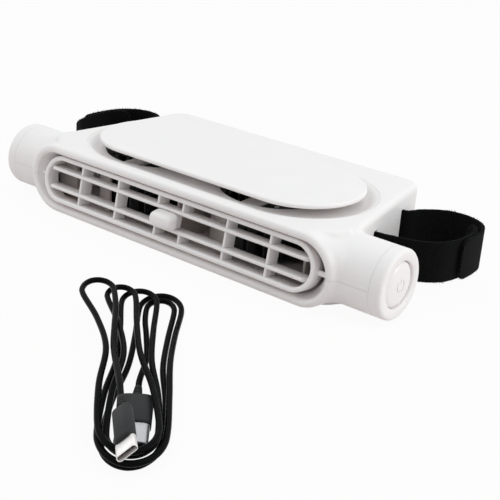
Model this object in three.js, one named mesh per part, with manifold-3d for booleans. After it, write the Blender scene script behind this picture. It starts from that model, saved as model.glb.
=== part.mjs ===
// Car headrest fan: a flat twin-blower housing with a long tilting outlet grille, a floating
// intake cover, a power button in one bar end and two hook-and-loop straps, with its USB cable.
// Millimetres, +Z up. Shapes are drawn about the bar's axis: +X along the bar, +Y to the rear.
import * as THREE from 'three';
import { mergeVertices } from 'three/addons/utils/BufferGeometryUtils.js';
import Module from 'manifold-3d';

const wasm = await Module();
wasm.setup();

// Fits
const FIT = 0.3; // gap between pieces that seat on each other
const SEAM = 0.2; // parting line between the two shells
const WALL = 2; // moulded wall

// Front bar and its end caps
const BAR_RADIUS = 16.5;
const BAR_PLAIN = 3.7; // plain bar between the lip's flare and a cap
const CAP_WIDTH = 6;
const SPIGOT_LENGTH = 5;
const SPIGOT_WALL = 1.6;
const CAP_FACE = 3.2; // thickness of a cap's end face behind its rounded rim

// Slab body behind the bar
const SLAB_HALF_HEIGHT = 18;
const SLAB_SHOULDER = 2.2; // its sides, at the bar's axis, inside the lip's ends
const SLAB_TAPER = 14; // each side, from the bar's axis to the rear
const SLAB_FRONT = -14;
const SLAB_REAR = 81;
const FRONT_CORNER = 20;
const REAR_CORNER = 7;
const EDGE_ROUND = 4;

// Outlet mouth and its rounded lip
const MOUTH_HALF_STRAIGHT = 77.8;
const MOUTH_RADIUS = 13.75;
const MOUTH_BACK = -3;
const THROAT_STEP = 4.2; // how far the mouth's ends slope in towards the grille
const THROAT_START = -12.5;
const LIP_FRONT = -19.5;
const LIP_ROUND = 2;
const FLARE_LENGTH = 13; // how far the lip's ends run out along the bar
const FLARE_SINK = 0.6; // the flare's edge below the bar's skin

// Tilting grille
const GRILLE_GAP = 1.59; // above and below, so that its corners clear the throat as it tilts
const GRILLE_END_GAP = 1.34;
const GRILLE_RIM = 1.8;
const GRILLE_DEPTH = 8.6;
const PIVOT_Y = -15;
const REST_TILT = 10.5; // degrees, top edge leaning back
const BLADE_HEIGHT = 4.75; // of each blade above and below the middle
const BLADE_THICK = 1.9;
const RIB_THICK = 1.3;
const RIB_PLACES = [7.85, 34.7, 60.05];
const RIB_SETBACK = 0.8;
const PIN_RADIUS = 1.7;
const PIN_DEPTH = 2.4; // of a pin in its socket
const SOCKET_WALL = 2;

// Tilt tab between the two middle ribs
const TAB_OUT = 6.8;
const TAB_HALF_WIDTH = 7.4;
const TAB_HALF_HEIGHT = 5;
const TAB_ROUND = 2.4;
const TAB_TANG = 5;

// Intake dish, inlets and floating cover
const INTAKE_Y = 24.7;
const COVER_HALF_STRAIGHT = 46;
const COVER_RADIUS = 31;
const COVER_THICK = 2.2;
const COVER_LIFT = 1.7; // above the slab's top
const COVER_ROUND = 0.9;
const DISH_MARGIN = 6.4; // dish rim outside the cover
const DISH_DEPTH = 3.2;
const DISH_WALL = 1.8;
const INLET_RADIUS = 29;
const BLOWER_LEFT = 0.293; // share of the spare width that lies left of both blowers
const BLOWER_RIGHT = 0.5445; // and right of them; what is left lies between
const COLLAR_WALL = 1.8;
const SPIDER_DROP = 2.2; // spokes below the dish floor
const SPOKE_WIDTH = 8.6;
const SPOKE_THICK = 1.6;
const SPOKE_ANGLES = [-90, 30, 150];
const SPIDER_HUB = 9;
const POST_RADIUS = 3.6;
const POST_SPREAD = 14; // of the middle posts before and behind the intake's centre line

// Blowers
const WHEEL_RADIUS = 27;
const WHEEL_TOP = 8.5;
const WHEEL_PLATE = 1.2;
const WHEEL_RING = 3;
const BLADES = 20;
const BLADE_WALL = 0.9;
const BLADE_DEPTH = 6;
const HUB_RADIUS = 13;
const HUB_WALL = 1.5;
const HUB_TOP = 4.5;
const SHAFT_RADIUS = 1.25;
const SHAFT_SEAT = 3; // length of shaft inside the motor
const MOTOR_RADIUS = 10.5;
const MOTOR_HEIGHT = 12.5;
const SCROLL_WALL = 1.2;
const SCROLL_BASE = 1.5;
const SCROLL_START = 29.5; // radius at the tongue
const SCROLL_END = 38.5; // radius at the outlet's outer wall
const SCROLL_TONGUE = 255; // degrees
const SCROLL_FRONT = -5.2;
const WHEEL_LIFT = 1.7; // wheel's plate above the scroll's base

// Power button, its switch and boards
const BUTTON_RADIUS = 10.7;
const BUTTON_DOME = 1.4;
const BUTTON_TRAVEL = 0.8;
const BUTTON_FLANGE = 1.4;
const BUTTON_WALL = 1.6;
const STEM_RADIUS = 2;
const BOARD_THICK = 1.6;
const SWITCH_SIDE = 6;
const SWITCH_HEIGHT = 2.6;
const PLUNGER_RADIUS = 1.7;
const PLUNGER_HEIGHT = 0.6;
const SOCKET_HALF_STRAIGHT = 2.84;
const SOCKET_RADIUS = 1.63;
const SOCKET_SHELL = 0.35;
const SOCKET_DEPTH = 7.35;
const USB_BOARD_LENGTH = 8.4;
const MAIN_BOARD_LENGTH = 44;
const MAIN_BOARD_WIDTH = 13;
const MAIN_BOARD_INSET = 11; // its middle, from the slab's rear
const MAIN_BOARD_LIFT = 5; // posts above the inner floor
const MAIN_BOARD_SCREWS = 16; // half spacing

// Fasteners
const SCREW_RADIUS = 1.1;
const SCREW_HEAD = 2.4;
const SCREW_HEAD_HEIGHT = 1.5;
const BOSS_RADIUS = 3.8;
const SHELL_SCREW_SEAT = -8; // head's seat, below the bar's axis
const SHELL_SCREW_LENGTH = 17;
const BAR_SCREW_INSET = 6.5; // inside the caps' spigots
const REAR_SCREW_INSET = 11; // from the slab's rear
const REAR_SCREWS = [66, 33]; // each side of the middle

// Straps
const STRAP_WIDTH = 20;
const STRAP_THICK = 1.5;
const STRAP_SLOT = 3.6;
const STRAP_FRONT_SLOT = 23.4;
const STRAP_REAR_SLOT = 57.4;
const STRAP_STEPS = 42;
const STRAP_STANDOUT = 31.4; // outer layer's outside, beyond the slab's widest place
const STRAP_INSET = 5.5; // the loop's rearmost place, from the slab's rear
const STRAP_LAP_GAP = 0.7; // between the two layers where they close on each other
const STRAP_WIDEN = 3.5; // the left loop is pulled this much wider
const STRAP_SWELL = 10; // and this much longer

// USB cable, lying on the floor in a hank: its near end is a common bend, its far ends fan out
const CABLE_DIAMETER = 2.5;
const CABLE_SIDES = 6;
const PLUG_A = { width: 12.8, height: 6, length: 19, shellWidth: 12, shellHeight: 4.5, shell: 12 };
const PLUG_A_ROOM = 1.75; // between the larger plug and the strands beside it
const LAYER_GAP = PLUG_A.height / 2 - CABLE_DIAMETER; // two layers are as high as that plug
const HANK_PLACE = [66.3, -112.4]; // the hank's middle
const HANK_TURN = -46; // degrees, the near end's heading
const HANK_HALF_RUN = 51;
const HANK_PITCH = 3.1;
const HANK_INNER = PLUG_A.width / 2 + CABLE_DIAMETER / 2 + PLUG_A_ROOM; // first loop's near bend
const HANK_TAPER = 3; // how much tighter the far bends are
const HANK_WAIST = 3.2; // each side drawn in at the waist
const HANK_FOLD = 5.6; // bend where the leads turn into the loops
const HANK_STRETCH = 1.6; // bends longer than they are wide
const HANK_FAN = 6.6; // degrees from the middle to the outer layers
const HANK_HINGE = -HANK_HALF_RUN - 7.5; // where the layers fan from
const RELIEF_LENGTH = 8;
const PLUG_EDGE = 1.2;
const PLUG_SHELL = 0.35;
const PLUG_C = { half: 1.9, radius: 2.8, length: 20, shellHalf: 2.9, shellRadius: 1.27, shell: 6.7 };
const PLUG_C_START = 9.5 - HANK_HALF_RUN; // where its strain relief begins
const PLUG_C_ASIDE = -2.4;
const PLUG_C_ROLL = -25; // degrees, it lies a little on its side
const PLUG_A_START = 32 - HANK_HALF_RUN;

// Finishes
const finish = (color, roughness, metalness = 0) =>
  new THREE.MeshStandardMaterial({ color, roughness, metalness });
const whiteAbs = finish(0xf1f0ee, 0.42);
const blackAbs = finish(0x17181a, 0.5);
const greySteel = finish(0xb4b6ba, 0.3, 1);
const boardGreen = finish(0x1f5a3a, 0.55);
const blackWeb = finish(0x0d0d0e, 0.95);
const blackPvc = finish(0x1b1b1c, 0.4);
const darkRubber = finish(0x2b2b2d, 0.6);

// Turns a closed geometry into a solid that faces out.
function solidOf(geometry) {
  const bare = geometry.index ? geometry.clone() : geometry;
  bare.deleteAttribute('normal');
  bare.deleteAttribute('uv');
  const welded = mergeVertices(bare, 1e-4);
  const place = welded.attributes.position.array;
  const corners = welded.index.array;
  const kept = [];
  let volume = 0;
  for (let i = 0; i < corners.length; i += 3) {
    const [a, b, c] = [corners[i], corners[i + 1], corners[i + 2]];
    if (a === b || b === c || c === a) continue;
    kept.push(a, b, c);
    const [p, q, r] = [a, b, c].map((k) => new THREE.Vector3().fromArray(place, 3 * k));
    volume += p.dot(q.cross(r));
  }
  if (volume < 0) kept.reverse();
  const mesh = new wasm.Mesh({ numProp: 3, vertProperties: place, triVerts: new Uint32Array(kept) });
  return new wasm.Manifold(mesh);
}

const join = (first, ...rest) => rest.reduce((whole, next) => whole.add(next), first);
const cut = (first, ...rest) => rest.reduce((whole, next) => whole.subtract(next), first);

function mesh(name, solid, material) {
  const { vertProperties, triVerts } = solid.getMesh();
  const geometry = new THREE.BufferGeometry();
  geometry.setAttribute('position', new THREE.BufferAttribute(vertProperties, 3));
  geometry.setIndex(new THREE.BufferAttribute(triVerts, 1));
  const made = new THREE.Mesh(geometry, material.clone());
  made.name = name;
  return made;
}

function box(x0, x1, y0, y1, z0, z1) {
  const block = new THREE.BoxGeometry(x1 - x0, y1 - y0, z1 - z0);
  return solidOf(block.translate((x0 + x1) / 2, (y0 + y1) / 2, (z0 + z1) / 2));
}

function rodZ(radius, x, y, z0, z1, sides = 12) {
  const rod = new THREE.CylinderGeometry(radius, radius, z1 - z0, sides);
  return solidOf(rod.rotateX(Math.PI / 2).translate(x, y, (z0 + z1) / 2));
}

function rodX(radius, x0, x1, y, z, sides = 14) {
  const rod = new THREE.CylinderGeometry(radius, radius, x1 - x0, sides);
  return solidOf(rod.rotateZ(Math.PI / 2).translate((x0 + x1) / 2, y, z));
}

// Extrudes an outline from z0 to z1, with its two edges rounded.
function prism(shape, z0, z1, round = 0, curveSegments = 7) {
  const geometry = new THREE.ExtrudeGeometry(shape, {
    depth: z1 - z0 - 2 * round,
    bevelEnabled: round > 0,
    bevelThickness: round,
    bevelSize: round,
    bevelOffset: -round,
    bevelSegments: 2,
    curveSegments,
  });
  return geometry.translate(0, 0, z0 + round);
}
const prismZ = (shape, z0, z1, round, curve) => solidOf(prism(shape, z0, z1, round, curve));
// The same along Y: the outline's own y becomes height.
const prismY = (shape, y0, y1, round, curve) =>
  solidOf(prism(shape, -y1, -y0, round, curve).rotateX(Math.PI / 2));
// And along X: the outline's x becomes depth and its y becomes height.
const prismX = (shape, x0, x1, round, curve, z = 0) =>
  solidOf(prism(shape, x0, x1, round, curve).rotateX(Math.PI / 2).rotateZ(Math.PI / 2).translate(0, 0, z));

// A profile of [radius, distance] pairs turned about X, side +1 or -1, or about Z.
const lathe = (profile, sides) =>
  new THREE.LatheGeometry([...profile, profile[0]].map(([r, d]) => new THREE.Vector2(r, d)), sides);
const latheX = (profile, side, sides = 24) => solidOf(lathe(profile, sides).rotateZ((-side * Math.PI) / 2));
const latheZ = (profile, x, y, sides = 24) =>
  solidOf(lathe(profile, sides).rotateX(Math.PI / 2).translate(x, y, 0));

// A shape with two straight sides and round ends.
function stadium(half, radius, y = 0) {
  const shape = new THREE.Shape();
  shape.absarc(half, y, radius, -Math.PI / 2, Math.PI / 2);
  shape.absarc(-half, y, radius, Math.PI / 2, Math.PI * 1.5);
  shape.closePath();
  return shape;
}

// A convex outline with each corner rounded by its own radius.
function roundedOutline(corners, radii) {
  const shape = new THREE.Shape();
  corners.forEach((corner, i) => {
    const here = new THREE.Vector2(...corner);
    const before = new THREE.Vector2(...corners.at(i - 1)).sub(here).normalize();
    const after = new THREE.Vector2(...corners[(i + 1) % corners.length]).sub(here).normalize();
    const half = before.angleTo(after) / 2;
    const start = here.clone().addScaledVector(before, radii[i] / Math.tan(half));
    const centre = here.clone().addScaledVector(before.add(after).normalize(), radii[i] / Math.sin(half));
    const from = start.sub(centre).angle();
    shape.absarc(centre.x, centre.y, radii[i], from, from + Math.PI - 2 * half);
  });
  shape.closePath();
  return shape;
}

const rectangle = (width, height, round) =>
  roundedOutline(
    [[width / 2, -height / 2], [width / 2, height / 2], [-width / 2, height / 2], [-width / 2, -height / 2]],
    [round, round, round, round],
  );

// Joins rings of equal, convex point lists into one closed skin.
function loft(rings) {
  const count = rings[0].length;
  const index = [];
  for (let i = 0; i + 1 < rings.length; i += 1) {
    for (let j = 0; j < count; j += 1) {
      const [a, b] = [i * count + j, i * count + ((j + 1) % count)];
      index.push(a, b, b + count, a, b + count, a + count);
    }
  }
  const last = (rings.length - 1) * count;
  for (let j = 1; j + 1 < count; j += 1) {
    index.push(0, j + 1, j, last, last + j, last + j + 1);
  }
  const geometry = new THREE.BufferGeometry().setFromPoints(rings.flat());
  return solidOf(geometry.setIndex(index));
}

const END_STEPS = 7;
const stadiumPoints = (half, radius) => stadium(half, radius).getPoints(END_STEPS).slice(0, -1);
const ringAtY = (half, radius, y) =>
  stadiumPoints(half, radius).map((p) => new THREE.Vector3(p.x, y, p.y));
const ringAtZ = (half, radius, y, z) =>
  stadiumPoints(half, radius).map((p) => new THREE.Vector3(p.x, p.y + y, z));

// Housing: heights and places that several pieces share
const lipEnd = MOUTH_HALF_STRAIGHT + SLAB_HALF_HEIGHT;
const slabWidest = lipEnd - SLAB_SHOULDER;
const slabSlope = SLAB_TAPER / SLAB_REAR;
const slabHalfWidth = (y) => slabWidest - slabSlope * y;
const barBore = BAR_RADIUS - WALL;
const barEnd = lipEnd + FLARE_LENGTH + BAR_PLAIN;
const barHalfLength = barEnd + CAP_WIDTH;
const throatHalfStraight = MOUTH_HALF_STRAIGHT - THROAT_STEP;
const grilleRadius = MOUTH_RADIUS - GRILLE_GAP;
const grilleHalfStraight = throatHalfStraight + GRILLE_GAP - GRILLE_END_GAP;
const innerFloor = -SLAB_HALF_HEIGHT + WALL;
const dishFloor = SLAB_HALF_HEIGHT - DISH_DEPTH;
const dishUnder = dishFloor - DISH_WALL;
const spiderTop = dishFloor - SPIDER_DROP;
const spiderUnder = spiderTop - SPOKE_THICK;
const coverUnder = SLAB_HALF_HEIGHT + COVER_LIFT;
const strapInside = (y) => slabHalfWidth(y) - WALL - FIT - STRAP_THICK; // a strap behind the side wall
const strapTuck = STRAP_THICK / 3;
const scrollLeft = SCROLL_WALL + SCROLL_START
  + (SCROLL_END - SCROLL_START) * (1 - 180 / SCROLL_TONGUE);
const scrollRight = SCROLL_WALL + SCROLL_END;
const blowerSide = strapInside(INTAKE_Y) - strapTuck - STRAP_THICK / 2;
const spareWidth = 2 * (blowerSide - scrollLeft - scrollRight);
const inletCentres = [
  BLOWER_LEFT * spareWidth + scrollLeft - blowerSide,
  blowerSide - scrollRight - BLOWER_RIGHT * spareWidth,
];
const intakeX = (inletCentres[0] + inletCentres[1]) / 2;
const coverPosts = [
  ...inletCentres.map((x) => ({ x, y: INTAKE_Y, seat: spiderTop, under: spiderUnder })),
  ...[-POST_SPREAD, POST_SPREAD].map((d) => (
    { x: intakeX, y: INTAKE_Y + d, seat: dishFloor, under: dishUnder }
  )),
];
const boardTop = innerFloor + MAIN_BOARD_LIFT + FIT + BOARD_THICK;
const mainBoardY = SLAB_REAR - MAIN_BOARD_INSET;
const mainBoardScrews = [-MAIN_BOARD_SCREWS, MAIN_BOARD_SCREWS];
const barScrewX = barEnd - SPIGOT_LENGTH - BAR_SCREW_INSET;
const shellScrews = [
  [-barScrewX, 0],
  [barScrewX, 0],
  ...REAR_SCREWS.flatMap((x) => [-x, x]).map((x) => [x, SLAB_REAR - REAR_SCREW_INSET]),
];
const screwHole = SCREW_RADIUS + FIT;
const slopeShare = (PIVOT_Y - LIP_FRONT - LIP_ROUND) / (THROAT_START - LIP_FRONT - LIP_ROUND);
const pivotWall = MOUTH_RADIUS + MOUTH_HALF_STRAIGHT
  - slopeShare * THROAT_STEP;
const pinTip = pivotWall + PIN_DEPTH;

const slabOutline = (inset) =>
  roundedOutline(
    [
      [slabHalfWidth(SLAB_FRONT) - inset, SLAB_FRONT + inset],
      [slabHalfWidth(SLAB_REAR) - inset, SLAB_REAR - inset],
      [-slabHalfWidth(SLAB_REAR) + inset, SLAB_REAR - inset],
      [-slabHalfWidth(SLAB_FRONT) + inset, SLAB_FRONT + inset],
    ],
    [FRONT_CORNER - inset, REAR_CORNER - inset, REAR_CORNER - inset, FRONT_CORNER - inset],
  );

// The lip swells round the mouth, then runs out on to the bar in a hollow curve.
function lipSolid() {
  const rings = [0, 45, 90].map((degrees) => {
    const turn = THREE.MathUtils.degToRad(degrees);
    const inset = LIP_ROUND * (1 - Math.sin(turn));
    const y = LIP_FRONT + LIP_ROUND * (1 - Math.cos(turn));
    return ringAtY(MOUTH_HALF_STRAIGHT, SLAB_HALF_HEIGHT - inset, y);
  });
  const crest = rings.at(-1);
  const seats = crest.map((point) => {
    const z = THREE.MathUtils.clamp(point.z, FLARE_SINK - BAR_RADIUS, BAR_RADIUS - FLARE_SINK);
    const end = Math.max(0, Math.abs(point.x) - MOUTH_HALF_STRAIGHT) / SLAB_HALF_HEIGHT;
    const x = point.x + Math.sign(point.x) * FLARE_LENGTH * end;
    return new THREE.Vector3(x, FLARE_SINK - Math.sqrt(BAR_RADIUS ** 2 - z ** 2), z);
  });
  for (const degrees of [30, 60, 90]) {
    const turn = THREE.MathUtils.degToRad(degrees);
    const [back, out] = [Math.sin(turn), 1 - Math.cos(turn)];
    rings.push(crest.map((point, i) => new THREE.Vector3(
      point.x + out * (seats[i].x - point.x),
      point.y + back * (seats[i].y - point.y),
      point.z + out * (seats[i].z - point.z),
    )));
  }
  return loft(rings);
}

// The mouth's opening: a rounded lip, ends that slope in, and a straight throat round the grille.
function mouthSolid() {
  const rings = [0, 45, 90].map((degrees) => {
    const turn = THREE.MathUtils.degToRad(degrees);
    const flare = LIP_ROUND * (1 - Math.sin(turn));
    return ringAtY(MOUTH_HALF_STRAIGHT, MOUTH_RADIUS + flare, LIP_FRONT + LIP_ROUND * (1 - Math.cos(turn)));
  });
  const front = ringAtY(MOUTH_HALF_STRAIGHT, MOUTH_RADIUS + LIP_ROUND, LIP_FRONT - WALL);
  const throat = [THROAT_START, MOUTH_BACK].map((y) => ringAtY(throatHalfStraight, MOUTH_RADIUS, y));
  return loft([front, ...rings, ...throat]);
}

// The dish's walls curve down from the rim to the level floor.
function dishSolid() {
  const rings = [0, 0.33, 0.67, 1].map((share) => {
    const radius = COVER_RADIUS + DISH_MARGIN * (1 - share);
    const depth = DISH_DEPTH * Math.sin((share * Math.PI) / 2);
    return ringAtZ(COVER_HALF_STRAIGHT, radius, INTAKE_Y, SLAB_HALF_HEIGHT - depth);
  });
  const rim = ringAtZ(COVER_HALF_STRAIGHT, COVER_RADIUS + DISH_MARGIN, INTAKE_Y, SLAB_HALF_HEIGHT + WALL);
  return loft([rim, ...rings]);
}

function spiderSolid(x) {
  const spokes = SPOKE_ANGLES.map((degrees) => {
    const reach = INLET_RADIUS + COLLAR_WALL / 2;
    const bar = new THREE.BoxGeometry(reach, SPOKE_WIDTH, SPOKE_THICK);
    bar.translate(reach / 2, 0, (spiderTop + spiderUnder) / 2);
    return solidOf(bar.rotateZ(THREE.MathUtils.degToRad(degrees)).translate(x, INTAKE_Y, 0));
  });
  return join(rodZ(SPIDER_HUB, x, INTAKE_Y, spiderUnder, spiderTop, 16), ...spokes);
}

function strapSlot(side, y) {
  const reach = 4 * WALL;
  const slot = new THREE.BoxGeometry(reach, STRAP_SLOT, STRAP_WIDTH + 2 * FIT);
  slot.rotateZ(side * Math.atan(slabSlope));
  return solidOf(slot.translate(side * (slabHalfWidth(y) - WALL / 2), y, 0));
}

function housingSolid() {
  const outer = join(
    prismZ(slabOutline(0), -SLAB_HALF_HEIGHT, SLAB_HALF_HEIGHT, EDGE_ROUND, 3),
    rodX(BAR_RADIUS, -barEnd + FIT, barEnd - FIT, 0, 0, 32),
    lipSolid(),
  );
  const hollow = join(
    prismZ(slabOutline(WALL), innerFloor, -innerFloor, 0, 2),
    rodX(barBore, -barHalfLength, barHalfLength, 0, 0, 24),
  );
  const pan = prismZ(
    stadium(COVER_HALF_STRAIGHT, COVER_RADIUS + DISH_MARGIN + WALL, INTAKE_Y),
    dishUnder,
    SLAB_HALF_HEIGHT - WALL / 2,
  );
  const collars = inletCentres.map((x) =>
    rodZ(INLET_RADIUS + COLLAR_WALL, x, INTAKE_Y, spiderUnder, dishFloor - DISH_WALL / 2, 28));
  const inlets = inletCentres.map((x) =>
    rodZ(INLET_RADIUS, x, INTAKE_Y, spiderUnder - WALL, SLAB_HALF_HEIGHT, 28));
  const columns = shellScrews.map(([x, y]) =>
    rodZ(BOSS_RADIUS, x, y, -SLAB_HALF_HEIGHT, SLAB_HALF_HEIGHT, 10).intersect(outer));
  const sockets = [-1, 1].map((side) => {
    const ends = [side * (pivotWall - WALL), side * (pinTip + SOCKET_WALL)].sort((a, b) => a - b);
    return rodX(PIN_RADIUS + FIT + SOCKET_WALL, ...ends, PIVOT_Y, 0).intersect(outer);
  });
  const body = join(cut(outer, hollow), pan, ...collars, ...columns, ...sockets);
  const open = join(
    cut(body, dishSolid(), mouthSolid(), ...inlets),
    ...inletCentres.map(spiderSolid),
  );
  const drilled = [
    rodX(PIN_RADIUS + FIT, -pinTip - FIT, pinTip + FIT, PIVOT_Y, 0),
    ...[-1, 1].flatMap((side) => [STRAP_FRONT_SLOT, STRAP_REAR_SLOT].map((y) => strapSlot(side, y))),
    ...coverPosts.map(({ x, y, seat, under }) => rodZ(screwHole, x, y, under - WALL, seat + WALL, 8)),
    ...shellScrews.flatMap(([x, y]) => [
      rodZ(screwHole, x, y, SHELL_SCREW_SEAT - WALL, SHELL_SCREW_SEAT + SHELL_SCREW_LENGTH + WALL, 6),
      rodZ(SCREW_HEAD + FIT, x, y, -SLAB_HALF_HEIGHT - WALL, SHELL_SCREW_SEAT, 10),
    ]),
  ];
  return cut(open, ...drilled);
}

function housing() {
  const whole = housingSolid();
  const big = 2 * barHalfLength;
  const upper = cut(whole, box(-big, big, -big, big, -big, SEAM / 2));
  const posts = mainBoardScrews.map((x) => cut(
    rodZ(BOSS_RADIUS, x, mainBoardY, innerFloor - WALL / 2, innerFloor + MAIN_BOARD_LIFT),
    rodZ(screwHole, x, mainBoardY, innerFloor, innerFloor + MAIN_BOARD_LIFT + WALL, 8),
  ));
  const lower = join(cut(whole, box(-big, big, -big, big, -SEAM / 2, big)), ...posts);
  return [mesh('upper_housing', upper, whiteAbs), mesh('lower_housing', lower, whiteAbs)];
}

// A pan-head screw along Z: its head's seat, and the way its shank points.
function screw(name, x, y, seat, length, way) {
  const profile = [
    [0, -SCREW_HEAD_HEIGHT],
    [SCREW_HEAD * 0.7, -SCREW_HEAD_HEIGHT],
    [SCREW_HEAD, -SCREW_HEAD_HEIGHT * 0.4],
    [SCREW_HEAD, 0],
    [SCREW_RADIUS, 0],
    [SCREW_RADIUS, length - SCREW_RADIUS],
    [0, length],
  ];
  const turned = profile.map(([r, d]) => [r, seat - way * FIT + way * d]);
  return mesh(name, latheZ(turned, x, y, 8), greySteel);
}

function intakeCover() {
  const plate = prismZ(
    stadium(COVER_HALF_STRAIGHT, COVER_RADIUS, INTAKE_Y),
    coverUnder,
    coverUnder + COVER_THICK,
    COVER_ROUND,
    8,
  );
  const posts = coverPosts.map(({ x, y, seat }) =>
    rodZ(POST_RADIUS, x, y, seat + FIT, coverUnder + COVER_THICK / 2));
  const screws = coverPosts.map(({ x, y, seat, under }, i) =>
    screw(`cover_screw_${i + 1}`, x, y, under, coverUnder - under - WALL / 2, 1));
  const holes = coverPosts.map(({ x, y, seat }) => rodZ(screwHole, x, y, seat, coverUnder + FIT, 8));
  return [mesh('intake_cover', cut(join(plate, ...posts), ...holes), whiteAbs), ...screws];
}

const capBore = BAR_RADIUS - WALL - FIT - SPIGOT_WALL; // inside a cap's spigot
const capFaceBack = barHalfLength - CAP_FACE - 1;
const buttonHole = BUTTON_RADIUS + FIT;

// The rounded rim and spigot that both caps share; inner closes the profile at the middle.
const capProfile = (inner) => [
  ...inner,
  [BAR_RADIUS - 2.2, barHalfLength],
  [BAR_RADIUS - 0.9, barHalfLength - 0.5],
  [BAR_RADIUS - 0.2, barHalfLength - 1.6],
  [BAR_RADIUS, barHalfLength - 3],
  [BAR_RADIUS, barEnd],
  [barBore - FIT, barEnd],
  [barBore - FIT, barEnd - SPIGOT_LENGTH],
  [capBore, barEnd - SPIGOT_LENGTH],
  [capBore, capFaceBack],
];

function buttonEnd() {
  const cap = latheX(capProfile([
    [buttonHole, capFaceBack],
    [buttonHole, barHalfLength - 0.9],
    [buttonHole + 0.7, barHalfLength - 0.2],
  ]), 1);
  const flangeFront = capFaceBack - FIT;
  const crown = barHalfLength + 0.1;
  const stemEnd = flangeFront - FIT;
  const button = latheX([
    [0, stemEnd],
    [STEM_RADIUS, stemEnd],
    [STEM_RADIUS, crown - BUTTON_DOME - BUTTON_WALL],
    [BUTTON_RADIUS - BUTTON_WALL, crown - BUTTON_DOME - BUTTON_WALL],
    [BUTTON_RADIUS - BUTTON_WALL, flangeFront - 1],
    [BUTTON_RADIUS + BUTTON_FLANGE, flangeFront - 1],
    [BUTTON_RADIUS + BUTTON_FLANGE, flangeFront],
    [BUTTON_RADIUS, flangeFront],
    [BUTTON_RADIUS, crown - BUTTON_DOME],
    [BUTTON_RADIUS - 0.6, crown - BUTTON_DOME * 0.5],
    [BUTTON_RADIUS * 0.8, crown - BUTTON_DOME * 0.22],
    [BUTTON_RADIUS * 0.45, crown - BUTTON_DOME * 0.06],
    [0, crown],
  ], 1);
  const plungerTop = stemEnd - BUTTON_TRAVEL - FIT;
  const switchTop = plungerTop - PLUNGER_HEIGHT;
  const boardFace = switchTop - SWITCH_HEIGHT - FIT;
  const board = rodX(capBore - FIT, boardFace - BOARD_THICK, boardFace, 0, 0, 32);
  const half = SWITCH_SIDE / 2;
  const tact = join(
    box(boardFace + FIT, switchTop, -half, half, -half, half),
    rodX(PLUNGER_RADIUS, switchTop - PLUNGER_HEIGHT, plungerTop, 0, 0),
  );
  return [
    mesh('right_end_cap', cap, whiteAbs),
    mesh('power_button', button, whiteAbs),
    mesh('switch_board', board, boardGreen),
    mesh('tact_switch', tact, blackAbs),
  ];
}

function inletEnd() {
  const faceFront = barHalfLength - 0.9;
  const slot = stadium(SOCKET_HALF_STRAIGHT, SOCKET_RADIUS + FIT);
  const disc = latheX(capProfile([
    [0, capFaceBack],
    [0, faceFront],
    [buttonHole, faceFront],
    [buttonHole + 0.7, barHalfLength - 0.2],
  ]), -1);
  const cap = cut(disc, prismX(slot, -barHalfLength - WALL, -capFaceBack + WALL));
  const mouth = -faceFront + FIT;
  const end = mouth + SOCKET_DEPTH;
  const shell = cut(
    prismX(stadium(SOCKET_HALF_STRAIGHT, SOCKET_RADIUS), mouth, end),
    prismX(stadium(SOCKET_HALF_STRAIGHT, SOCKET_RADIUS - SOCKET_SHELL), mouth - WALL, end - 1),
  );
  const half = SOCKET_HALF_STRAIGHT;
  const tongue = box(mouth + 1, end - 0.5, -half, half, -SOCKET_SHELL, SOCKET_SHELL);
  const boardUpper = -SOCKET_RADIUS - FIT;
  const boardLower = boardUpper - BOARD_THICK;
  const boardHalf = Math.sqrt((capBore - FIT) ** 2 - boardLower ** 2);
  const boardStart = -capFaceBack + FIT;
  const board = box(boardStart, boardStart + USB_BOARD_LENGTH, -boardHalf, boardHalf, boardLower, boardUpper);
  return [
    mesh('left_end_cap', cap, whiteAbs),
    mesh('usb_socket', join(shell, tongue), greySteel),
    mesh('usb_board', board, boardGreen),
  ];
}

// Grille, drawn about its pivot, with the front edge at -GRILLE_DEPTH / 2
function grille() {
  const front = -GRILLE_DEPTH / 2;
  const back = GRILLE_DEPTH / 2;
  const outline = stadium(grilleHalfStraight, grilleRadius);
  outline.holes.push(stadium(grilleHalfStraight, grilleRadius - GRILLE_RIM));
  const rim = prismY(outline, front, back, GRILLE_RIM * 0.35, 7);
  const within = stadium(grilleHalfStraight, grilleRadius - GRILLE_RIM / 2);
  const inside = prismY(within, front - 1, back + 1, 0, 7);
  const reach = grilleHalfStraight + grilleRadius;
  const nose = new THREE.Shape();
  nose.absarc(front + BLADE_THICK / 2, 0, BLADE_THICK / 2, Math.PI / 2, Math.PI * 1.5);
  nose.lineTo(back, -BLADE_THICK * 0.35);
  nose.lineTo(back, BLADE_THICK * 0.35);
  nose.closePath();
  const blades = [-BLADE_HEIGHT, BLADE_HEIGHT].map((z) => {
    return prismX(nose, -reach, reach, 0, 2, z).intersect(inside);
  });
  const ribs = RIB_PLACES.flatMap((x) => [-x, x]).map((x) => {
    const sides = [x - RIB_THICK / 2, x + RIB_THICK / 2];
    return box(...sides, front + RIB_SETBACK, back, -grilleRadius, grilleRadius).intersect(inside);
  });
  const pins = [-1, 1].map((side) => {
    const ends = [side * (reach - GRILLE_RIM / 2), side * pinTip].sort((a, b) => a - b);
    return rodX(PIN_RADIUS, ...ends, 0, 0);
  });
  return mesh('outlet_grille', join(rim, ...blades, ...ribs, ...pins), whiteAbs);
}

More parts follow.
